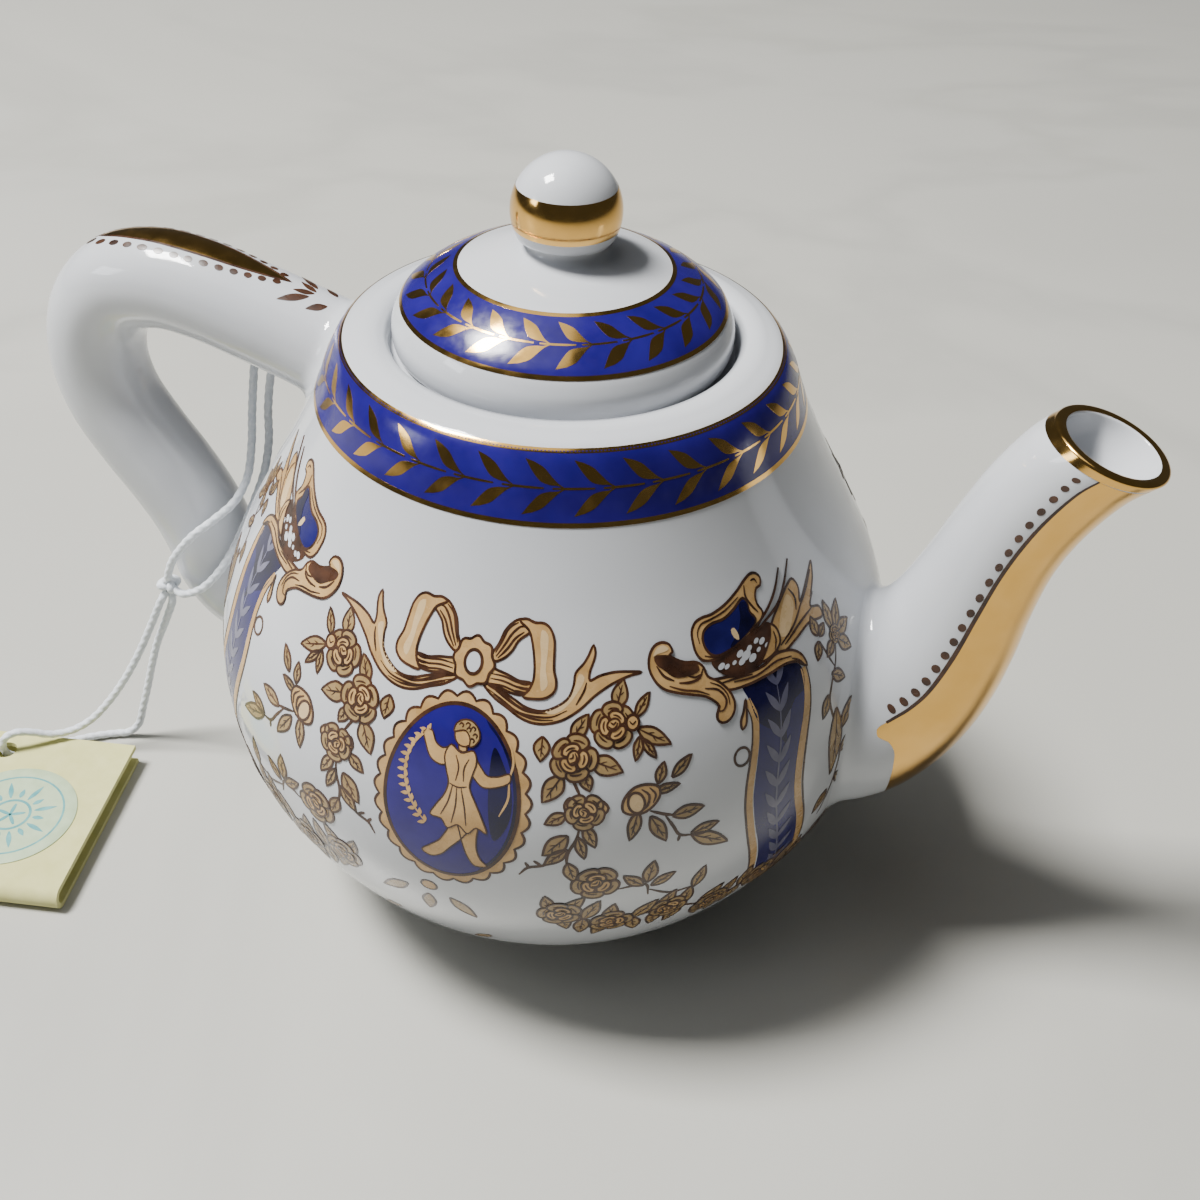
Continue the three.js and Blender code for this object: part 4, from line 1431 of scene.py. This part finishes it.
def draw_cartouche():
    """The scroll, its blue panel, the acanthus and the hanging laurel strip."""
    c = Drawing()
    acanthus = [(31.2, 12.9), (31.9, 14.2), (33.4, 15.4), (35.2, 16.5), (36.4, 16.9), (37.0, 16.0),
                (36.6, 14.7), (38.6, 16.0), (40.5, 17.2), (39.9, 16.0), (38.4, 14.4), (39.0, 14.8),
                (38.0, 13.8), (39.4, 13.2), (39.5, 12.3), (37.0, 12.5), (34.4, 11.8), (32.2, 11.4)]
    c.shape(acanthus, "ochre", 0, width=0.24)
    c.fill([(32.6, 12.8), (33.4, 14.6), (35.0, 15.9), (35.6, 15.0), (34.9, 13.8), (33.6, 12.6)],
           "pale", 1)
    for vein in (
        [(32.4, 12.0), (34.8, 13.1), (36.8, 14.6)],
        [(33.0, 11.9), (35.8, 13.0), (38.2, 13.6)],
        [(36.2, 14.2), (37.8, 15.2), (39.8, 16.6)],
        [(35.4, 16.3), (36.0, 15.3), (35.7, 14.2)],
    ):
        c.line(vein, level=2, width=0.24)

    column = [(26.9, 10.0), (29.0, 10.2), (31.2, 10.3), (33.0, 10.2), (34.4, 9.4), (34.3, 7.6),
              (33.9, 6.0), (33.4, 4.2), (32.8, 2.0), (32.5, 0.0), (32.5, -2.0), (33.0, -4.0),
              (33.7, -6.2), (34.4, -8.4), (35.2, -11.0), (35.8, -14.0), (33.4, -15.2), (31.0, -14.6),
              (30.2, -11.6), (29.5, -8.8), (28.9, -6.8), (28.2, -4.8),
              (27.7, -2.8), (27.4, -0.8), (27.5, 1.0), (27.8, 3.0), (28.1, 5.0), (28.1, 7.0),
              (27.4, 8.6)]
    c.fill(column, "navy", 0)
    c.fill([(26.9, 10.0), (29.0, 10.2), (31.2, 10.3), (33.0, 10.2), (34.4, 9.4), (34.2, 7.4),
            (32.8, 6.9), (31.4, 5.0), (31.2, 3.2), (30.2, 4.6), (29.0, 5.6), (28.1, 6.4),
            (27.4, 8.6)], "shade", 1)
    c.line([(27.2, 8.6), (27.8, 7.0), (27.7, 5.0), (27.3, 2.8), (26.95, 0.6), (26.95, -1.4),
            (27.3, -3.4), (27.9, -5.6), (28.7, -8.0), (29.5, -11.0), (30.3, -14.4)],
           "ochre", 1, 0.8, taper=0.8)
    c.line([(34.6, 9.2), (34.6, 7.4), (34.15, 5.4), (33.4, 3.2), (32.85, 0.8), (32.75, -1.4),
            (33.15, -3.6), (34.0, -6.0), (34.7, -8.2), (35.5, -11.0), (36.1, -14.2)],
           "ochre", 1, 0.9, taper=0.8)
    for line in (
        [(26.8, 8.4), (27.35, 7.0), (27.3, 5.0), (26.9, 2.8), (26.55, 0.6), (26.55, -1.4),
         (26.9, -3.5), (27.5, -5.8), (28.3, -8.2), (29.1, -11.0), (29.9, -14.4)],
        [(35.1, 9.2), (35.1, 7.4), (34.7, 5.4), (34.0, 3.2), (33.5, 0.8), (33.4, -1.4),
         (33.8, -3.6), (34.6, -6.0), (35.3, -8.3), (36.0, -11.0), (36.6, -14.2)],
    ):
        c.line(line, level=2, width=0.22)
    stem = [(30.9, 9.6), (30.8, 6.6), (30.5, 3.6), (30.1, 0.8), (30.1, -2.0), (30.7, -5.0),
            (31.6, -8.0), (32.6, -11.0), (33.4, -14.0)]
    c.line(stem, "steel", 2, 0.2)
    for x, y in even(spline(stem, 0.3), 2.5).tolist()[:-1]:
        for side in (1, -1):
            tip = (x + side * 1.45, y + 1.5)
            add_plain_leaf(c, (x, y - 0.7), tip, 0.72, "steel", 2)

    dark = [(24.0, 12.6), (26.0, 13.0), (28.0, 13.5), (30.0, 14.2), (31.4, 14.3), (31.8, 13.2),
            (31.0, 12.0), (29.0, 11.2), (26.8, 11.1), (25.0, 11.5)]
    c.shape(dark, "line", 3)
    for x, y, r in ((24.9, 12.1, 0.34), (25.5, 11.95, 0.26), (27.2, 12.7, 0.36), (27.9, 12.4, 0.5),
                    (28.4, 12.9, 0.3), (28.6, 12.0, 0.42), (27.3, 12.0, 0.36), (29.4, 13.3, 0.28),
                    (30.1, 13.1, 0.34), (29.5, 12.5, 0.24), (30.6, 12.6, 0.24), (26.4, 12.1, 0.22)):
        c.fill(circle(x, y, r * 1.2, r * 0.75, 9, 0.4), "porcelain", 5)
    c.shape([(22.6, 11.1), (25.0, 11.1), (27.2, 10.9), (29.8, 11.0), (31.4, 11.5), (32.8, 11.4),
             (34.0, 11.0), (34.9, 10.2), (35.2, 9.2), (34.6, 9.5), (33.9, 10.0), (32.6, 10.3),
             (30.0, 10.1), (27.2, 9.9), (25.2, 10.0)], "ochre", 5)
    for stroke in (
        [(26.0, 10.5), (28.6, 10.4), (31.4, 10.9), (33.4, 10.7)],
        [(24.4, 10.7), (26.4, 10.75), (28.2, 10.65)],
        [(33.4, 10.5), (34.3, 10.0), (34.8, 9.5)],
        [(31.5, 11.9), (31.9, 12.7), (31.8, 13.5)],
    ):
        c.line(stroke, level=7, width=0.2)
    for stroke in (
        [(22.8, 14.4), (22.7, 15.3), (23.2, 15.95), (24.4, 16.2), (26.2, 16.6), (28.2, 17.4)],
        [(23.2, 13.3), (24.4, 13.0), (25.6, 13.2)],
        [(30.3, 18.4), (30.9, 18.4), (31.1, 18.0)],
    ):
        c.line(stroke, level=6, width=0.17)
    c.shape([(31.2, 11.6), (32.4, 12.4), (32.3, 13.6), (31.6, 14.2), (31.3, 13.3), (30.4, 12.2),
             (29.6, 11.4)], "ochre", 5)

    frame_outer = [(22.1, 14.6), (22.1, 15.5), (22.6, 16.2), (23.5, 16.5), (24.6, 16.6),
                   (26.4, 17.1), (28.4, 18.0), (29.5, 18.6), (30.5, 18.95), (31.3, 18.8),
                   (31.75, 18.3), (31.5, 17.7), (30.9, 17.6), (30.5, 17.0), (30.5, 16.3),
                   (31.0, 15.4), (29.8, 14.4), (27.8, 13.7), (25.8, 13.0), (24.0, 12.8),
                   (22.9, 13.0), (22.3, 13.7)]
    c.shape(frame_outer, "ochre", 4)
    c.shape([(23.4, 15.3), (24.3, 15.8), (26.0, 16.0), (27.3, 16.5), (28.8, 17.2), (29.2, 16.8),
             (29.3, 15.9), (29.9, 15.1), (28.4, 14.2), (26.2, 13.3), (24.4, 13.1), (23.6, 13.6),
             (23.2, 14.5)], "navy", 6)
    c.fill([(26.2, 13.5), (28.4, 14.2), (29.7, 15.0), (29.2, 15.9), (29.1, 16.8), (28.2, 16.8),
            (28.0, 15.6), (27.4, 14.6)], "shade", 8)
    c.fill([(26.6, 14.9), (27.0, 15.0), (27.4, 14.2), (27.3, 13.9), (26.8, 14.2)], "pale", 9)
    c.line([(29.3, 18.2), (29.2, 17.3), (29.7, 16.4), (30.4, 15.6)], level=6, width=0.24)
    for line in (
        [(28.8, 14.2), (31.2, 15.2), (33.2, 16.6), (34.8, 18.4)],
        [(30.0, 14.2), (33.4, 15.6), (35.0, 16.9), (36.6, 18.7)],
    ):
        c.line(line, level=7, width=0.24)

    volute = [(19.75, 14.1), (19.5, 14.75), (18.7, 15.0), (17.9, 14.75), (17.35, 14.0), (17.25, 13.0),
              (17.7, 12.0), (18.5, 11.2), (19.8, 10.7), (21.4, 10.3), (22.8, 9.9), (23.7, 9.3),
              (24.1, 8.8), (23.8, 8.2), (23.8, 7.7), (24.2, 7.35), (24.9, 7.4), (25.5, 7.9),
              (25.75, 8.7), (25.5, 9.6), (25.0, 10.3), (24.2, 11.0), (23.2, 11.6), (22.9, 12.4),
              (22.3, 12.9), (21.0, 13.1), (20.0, 13.5), (19.4, 13.9)]
    c.shape(volute, "ochre", 8)
    c.shape([(17.9, 13.8), (18.7, 13.85), (19.5, 13.7), (20.2, 13.2), (21.0, 13.0), (22.1, 12.8),
             (22.3, 12.3), (20.9, 12.0), (19.8, 12.1), (18.8, 12.8), (18.1, 13.3)], "line", 10)
    c.line([(18.0, 13.1), (18.7, 12.2), (19.7, 11.7)], level=10, width=0.24)
    c.line([(19.2, 11.3), (20.6, 10.8), (22.0, 10.5), (23.2, 10.0)], level=10, width=0.18)
    c.line([(21.2, 11.9), (22.0, 11.7), (22.6, 11.9)], level=10, width=0.18)
    c.line([(23.4, 11.0), (24.4, 10.5), (25.1, 9.6), (25.2, 8.7)], level=10, width=0.16)
    c.line([(20.2, 11.45), (21.4, 11.35), (22.4, 11.6), (22.8, 12.3)], level=10, width=0.24)
    c.line([(22.8, 10.6), (24.2, 10.2), (24.9, 9.2), (24.5, 8.4), (24.0, 8.4)], level=10, width=0.22)
    c.fill([(17.7, 13.9), (18.2, 14.6), (18.9, 14.75), (19.4, 14.4), (18.9, 14.2), (18.2, 14.1)],
           "pale", 10)

    c.line(circle(26.1, 3.7, 0.8, 0.85, 20), "line", 2, 0.24, closed=True)
    c.shape([(27.0, 8.7), (26.9, 7.4), (26.7, 6.5), (26.3, 6.2), (26.2, 6.9), (26.6, 7.7)], "ochre", 3)
    return c


SIDE_SPRIG = (
    ((40.4, 10.6), (40.2, 13.4), 1.3, 2),
    ((40.9, 10.4), (42.6, 12.6), 1.3, 2),
    ((41.0, 9.9), (43.6, 10.2), 1.4, 2),
    ((40.8, 9.4), (42.8, 7.6), 1.4, 2),
    ((40.0, 9.6), (38.4, 8.6), 1.1, 2),
    ((37.8, 11.0), (37.5, 12.9), 1.2, 2),
    ((38.1, 10.8), (39.3, 11.6), 0.9, 2),
    ((37.7, 10.4), (36.9, 8.9), 1.1, 2),
    ((38.6, 6.9), (40.6, 5.6), 1.2, 2),
    ((37.5, 5.2), (36.3, 3.4), 1.1, 2),
    ((38.5, 3.4), (37.9, -3.6), 2.1, 2),
    ((39.2, 1.0), (41.4, 3.2), 1.4, 2),
    ((39.2, -1.6), (41.8, -0.2), 1.4, 2),
    ((39.0, -4.4), (41.2, -5.6), 1.4, 2),
    ((38.0, -5.6), (36.6, -7.8), 1.3, 2),
)


def draw_side_sprig():
    s = Drawing()
    stem = [(40.4, 9.6), (39.6, 7.8), (38.4, 6.2), (37.6, 4.6), (38.2, 2.0), (39.2, -1.2), (38.8, -5.0)]
    s.line(stem + [(38.0, -9.0)], width=0.3)
    s.line([(37.9, 10.4), (38.6, 8.6), (39.2, 7.4)], width=0.24)
    for stalk, tip, width, level in SIDE_SPRIG:
        add_leaf(s, stalk, tip, width, level)
    add_rose(s, 40.5, 10.0, 0.9, 0.4, 4)
    return s


def draw_motif():
    """Everything printed on one side of the pot."""
    motif = Drawing()
    sides = Drawing()
    for draw in (draw_wreath, draw_side_sprig, draw_cartouche, draw_garland, draw_bow_half):
        sides.add(draw())
    motif.add(sides)
    motif.add(sides, mirror=True)
    motif.add(draw_medallion())
    motif.add(draw_figure())
    motif.add(draw_bow_knot())
    below = Drawing()
    below.shape(circle(-1.4, -11.3, 0.75, 0.7, 14), "ochre", 0, width=0.2)
    for stalk, tip in (
        ((-1.5, -13.0), (-1.7, -16.2)),
        ((-3.6, -12.4), (-6.4, -14.8)),
        ((0.6, -12.6), (3.0, -15.6)),
        ((-6.0, -20.5), (-8.2, -22.0)),
        ((4.0, -21.5), (2.0, -24.0)),
    ):
        add_leaf(below, stalk, tip, 1.3, 0, veins=False)
    motif.add(below)
    return motif


MOTIF_AT = (2.2, 6.5)
MOTIF_TURN = math.radians(-3.7)  # the transfer was put on a little crooked


def on_front(points):
    c, s = math.cos(MOTIF_TURN), math.sin(MOTIF_TURN)
    x = MOTIF_AT[0] + points[:, 0] * c - points[:, 1] * s
    y = MOTIF_AT[1] + points[:, 0] * s + points[:, 1] * c
    return np.stack([x, y], -1)


def on_back(points):
    return on_front(points) + (math.pi * BELLY_R, 0)


# ---- gilding and beads on the spout and handle ---------------------------------------------------


PANEL_END = 0.965  # where the gold panel meets the gilded lip, as a share of the spout
PANEL_END_ANGLE = 91


def print_spout(ink):
    """The gold panel down the spout's outer face, with a dark edge and a row of beads each side."""
    degree = math.radians(1) * SPOUT_CHART.radius
    edge = [(0.165, 0), (0.175, 20), (0.195, 38), (0.225, 54), (0.258, 67), (0.28, 76),
            (0.284, 84), (0.272, 91), (0.28, 95), (0.32, 94), (0.37, 90), (0.42, 87), (0.55, 85),
            (0.7, 86), (0.82, 88), (0.92, 90), (PANEL_END, PANEL_END_ANGLE)]
    side = [(t * SPOUT_LENGTH, a * degree) for t, a in edge]
    rising = spline(side, 0.5)
    falling = rising[::-1] * (1, -1)
    lip = np.linspace(PANEL_END_ANGLE * degree, -PANEL_END_ANGLE * degree, 40)[1:-1]
    end = np.stack([np.full(lip.shape, PANEL_END * SPOUT_LENGTH), lip], -1)
    panel = Drawing()
    outline = np.vstack([rising, end, falling[:-1]])
    panel.fill(outline, "gold", 0, smooth=False)
    for flip in (1, -1):
        edge_line = rising[rising[:, 0] > 0.3 * SPOUT_LENGTH] * (1, flip)
        panel.line(edge_line[edge_line[:, 1] * flip > 80 * degree], "line", 1, 0.42, smooth=False)
        beads = even(rising[rising[:, 0] > 0.335 * SPOUT_LENGTH], 1.5) + (0, 0.68)
        for x, y in beads.tolist()[:-1]:
            lift = 0.75 * max(0, (x / SPOUT_LENGTH - 0.7) / 0.27)
            panel.fill(circle(x, (y + lift) * flip, 0.37, 0.4, 12), "line", 1, smooth=False)
    ink.lay(panel, SPOUT_CHART, same, "spout", 0.5)


def gild_lip():
    """Gold over the lip and a little way down the outside, as a skin just off the glaze."""
    angle = turns(SPOUT_SIDES) - math.pi
    skin = 0.03
    lowest = 0.966 + 0.010 * np.cos(angle)
    rows = [spout_tube(lowest, angle, 0.02)]
    for f in np.linspace(0, 1, 7):
        rows.append(spout_tube(lowest + (1 - lowest) * f, angle, -skin))
    over_the_top = lip_profile()[1:-2]
    for beyond, inward in over_the_top:
        outward = skin * math.cos(math.pi * inward / (2 * LIP_ROUND))
        rows.append(lip_ring(beyond + skin, inward - outward, angle))
    beyond, inward = over_the_top[-1]
    rows.append(lip_ring(beyond - skin, inward - skin, angle))
    points, faces = tube_rings(rows)
    faces = turned_over(faces + closing_faces(len(rows), SPOUT_SIDES))
    add_mesh("spout_lip_gold", points, faces, "pot", looks["gold"], crease=60)


def print_handle(ink):
    """A long gold leaf on top of the handle, with a dark edge, beads and a spray of leaves."""
    degree = math.radians(1) * HANDLE_R
    edge = [(11.8, 0), (13.5, 6), (15.5, 11), (18, 16), (21, 19), (24, 19), (26.5, 15), (28.4, 8),
            (29.2, 0)]
    side = spline([(s, a * degree) for s, a in edge], 0.4)
    outline = np.vstack([side, (side * (1, -1))[::-1][1:-1]])
    leaf = Drawing()
    leaf.fill(outline, "gold", 0, smooth=False)
    leaf.line(outline, "line", 1, 0.22, closed=True, smooth=False)
    for flip in (1, -1):
        beads = even(side[side[:, 0] > 12.4], 1.4)
        for i, (x, y) in enumerate(beads.tolist()):
            out = 0.85 * math.sin(math.pi * min(1, (i + 1) / len(beads)) * 0.5 + 0.6)
            spot = circle(x + 0.4, (y + out) * flip, 0.4, 0.34, 12)
            leaf.fill(spot, "line", 1, smooth=False)
        for (x0, a0), (x1, a1), width in (
            ((9.6, 10), (11.9, 31), 0.85),
            ((7.7, 12), (9.2, 27), 0.8),
            ((9.4, 2), (11.2, 10), 0.7),
        ):
            base, tip = (x0, a0 * degree * flip), (x1, a1 * degree * flip)
            add_plain_leaf(leaf, base, tip, width, "line", 1)
    ink.lay(leaf, HANDLE_CHART, same, "handle", 0.4)


# ---- printing ------------------------------------------------------------------------------------

BODY_OF_PIECE = {
    "sticker": "pot",
    "body": "pot",
    "front": "pot",
    "back": "pot",
    "spout": "pot",
    "handle": "pot",
    "lid": "lid",
}


def draw_sticker():
    """Rings and a plain sunburst on the round sticker, with no lettering."""
    badge = Drawing()
    badge.line(circle(0, 0, 5.6, count=48), "sticker_ink", 0, 0.22, closed=True, smooth=False)
    badge.line(circle(0, 0, 2.1, count=32), "sticker_ink", 0, 0.3, closed=True, smooth=False)
    for k in range(16):
        a = k * math.pi / 8
        near, far = (2.5, 4.9) if k % 2 else (2.5, 3.8)
        base, tip = ((r * math.cos(a), r * math.sin(a)) for r in (near, far))
        add_plain_leaf(badge, base, tip, 0.55, "sticker_ink", 0)
    for k in range(5):
        a = math.pi / 2 + k * 2 * math.pi / 5
        badge.line([(0, 0), (1.6 * math.cos(a), 1.6 * math.sin(a))], "sticker_ink", 0, 0.4)
    return badge


def print_all():
    ink = Print()
    print_bands(ink)
    motif = draw_motif()
    ink.lay(motif, BODY_CHART, on_front, "front")
    ink.lay(motif, BODY_CHART, on_back, "back")
    print_spout(ink)
    print_handle(ink)
    ink.make(BODY_OF_PIECE)
    gild_lip()


print_all()

# ---- tag ----------------------------------------------------------------------------------------

TAG_WIDTH = 27
TAG_DEPTH = 22.4
TAG_HEIGHT = 2.6
TAG_LEAF = 0.55
TAG_TURN = math.radians(12)
TAG_CORNER = (-46.9, -11.8)  # back corner nearest to the pot
TAG_HOLE = (-60.1, -17.5)
TAG_HOLE_R = 1.2
STICKER_R = 7
STICKER_THICK = 0.12
STICKER_SIDES = 72
STICKER_FROM_CORNER = (-9.3, -12.3)


def on_tag(points):
    """From the tag's own axes (x along its back edge, y away from it) to the pot's."""
    p = np.array(points, float)
    c, s = math.cos(TAG_TURN), math.sin(TAG_TURN)
    x = TAG_CORNER[0] + p[:, 0] * c - p[:, 1] * s
    y = TAG_CORNER[1] + p[:, 0] * s + p[:, 1] * c
    return np.stack([x, y, p[:, 2]], -1)


def tag_section():
    """The folded card from the side: [distance from the back edge, height], anticlockwise."""
    fold = TAG_HEIGHT / 2
    inner = fold - TAG_LEAF
    middle = TAG_DEPTH - fold
    turn = np.linspace(-math.pi / 2, math.pi / 2, 13)
    outside = [(middle + fold * math.cos(a), fold + fold * math.sin(a)) for a in turn]
    inside = [(middle + inner * math.cos(a), fold + inner * math.sin(a)) for a in turn[::-1]]
    flats = np.linspace(0, middle, 12)[1:-1]
    lower = [(d, 0) for d in flats]
    upper = [(d, TAG_HEIGHT) for d in flats[::-1]]
    back_upper = [(0, TAG_HEIGHT), (0, TAG_HEIGHT - TAG_LEAF)]
    inner_upper = [(d, TAG_HEIGHT - TAG_LEAF) for d in flats]
    inner_lower = [(d, TAG_LEAF) for d in flats[::-1]]
    return (
        [(0, 0)] + lower + outside + upper + back_upper + inner_upper + inside + inner_lower
        + [(0, TAG_LEAF)]
    )


def make_tag():
    section = tag_section()
    rows = 14
    points = []
    for i in range(rows):
        along_edge = -TAG_WIDTH * i / (rows - 1)
        points += [(along_edge, -d, z) for d, z in section]
    faces = grid_faces(rows, len(section)) + end_caps(len(points), len(section))
    tag = add_mesh(
        "price_tag", on_tag(points), faces, "pot", looks["card"], ["tag_card"], crease=35
    )
    sides = 32
    punch = []
    for z in (-1, TAG_HEIGHT + 1):
        for k in range(sides):
            t = k * 2 * math.pi / sides
            punch.append(
                (TAG_HOLE[0] + TAG_HOLE_R * math.cos(t), TAG_HOLE[1] + TAG_HOLE_R * math.sin(t), z)
            )
    cut(tag, punch, grid_faces(2, sides) + end_caps(2 * sides, sides))

    x0, y0 = STICKER_FROM_CORNER
    top = TAG_HEIGHT + STICKER_THICK
    rings = [(STICKER_R - 0.1, TAG_HEIGHT), (STICKER_R, TAG_HEIGHT + 0.03), (STICKER_R, top - 0.03)]
    rings += [(STICKER_R - 0.06, top)] + [(STICKER_R * k / 8, top) for k in range(7, 0, -1)]
    points = [
        (x0 + r * math.cos(t), y0 + r * math.sin(t), z)
        for r, z in rings
        for t in turns(STICKER_SIDES)
    ]
    faces = grid_faces(len(rings), STICKER_SIDES) + end_caps(len(points), STICKER_SIDES)
    add_mesh(
        "price_sticker", on_tag(points), faces, "pot", looks["sticker"], ["tag_sticker"]
    )



class StickerChart:
    """The sticker's top, flat, from its middle."""

    def lay(self, flat, height):
        x0, y0 = STICKER_FROM_CORNER
        z = np.full(len(flat), TAG_HEIGHT + STICKER_THICK + height)
        place = on_tag(np.column_stack([flat[:, 0] + x0, flat[:, 1] + y0, z]))
        return place, np.tile([0.0, 0.0, 1.0], (len(flat), 1))


make_tag()
badge = Print()
badge.lay(draw_sticker(), StickerChart(), same, "sticker", 2.0)
badge.make(BODY_OF_PIECE)

# ---- floor and light ----------------------------------------------------------------------------


TABLE_HALF_M = 1.6
LAMP_TARGET_M = (0, 0, 0.035)
ROOM_COLOUR = (0.85, 0.88, 0.92, 1)
ROOM_STRENGTH = 0.065


def make_floor():
    mesh = bpy.data.meshes.new("floor")
    corners = [(x * TABLE_HALF_M, y * TABLE_HALF_M, 0) for x, y in ((-1, -1), (1, -1), (1, 1), (-1, 1))]
    mesh.from_pydata(corners, [], [(0, 1, 2, 3)])
    look = Look("pale_table", 0.32)
    look.colour(
        look.noise(2.6, 6, 1.6),
        (0.30, (0.448, 0.443, 0.406)),
        (0.47, (0.480, 0.475, 0.438)),
        (0.50, (0.440, 0.436, 0.402)),
        (0.53, (0.480, 0.475, 0.438)),
        (0.70, (0.495, 0.490, 0.452)),
    )
    mesh.materials.append(look.material)
    floor = bpy.data.objects.new("floor", mesh)
    bpy.context.scene.collection.objects.link(floor)


def area_light(name, direction, distance, size, power, colour):
    """A soft light that shines at the pot from an azimuth and elevation in degrees. Metres, watts."""
    data = bpy.data.lights.new(name, "AREA")
    data.shape = "RECTANGLE"
    data.size, data.size_y = size
    data.energy = power
    data.color = colour
    lamp = bpy.data.objects.new(name, data)
    a, e = (math.radians(d) for d in direction)
    away = Vector((math.cos(e) * math.cos(a), math.cos(e) * math.sin(a), math.sin(e)))
    target = Vector(LAMP_TARGET_M)
    lamp.location = target + away * distance
    lamp.rotation_euler = away.to_track_quat("Z", "Y").to_euler()
    bpy.context.scene.collection.objects.link(lamp)


def make_light():
    area_light("ceiling_lamp", (-165, 61), 0.95, (0.24, 0.24), 24.5, (1.0, 0.99, 0.965))
    area_light("ceiling_glow", (-165, 70), 1.0, (0.9, 0.9), 2.6, (0.96, 0.98, 1.0))
    area_light("window", (-146, 20), 1.2, (0.3, 0.22), 1.6, (0.90, 0.94, 1.0))
    world = bpy.data.worlds.new("room")
    bpy.context.scene.world = world
    world.use_nodes = True
    background = world.node_tree.nodes["Background"]
    background.inputs["Color"].default_value = ROOM_COLOUR
    background.inputs["Strength"].default_value = ROOM_STRENGTH


make_floor()
make_light()
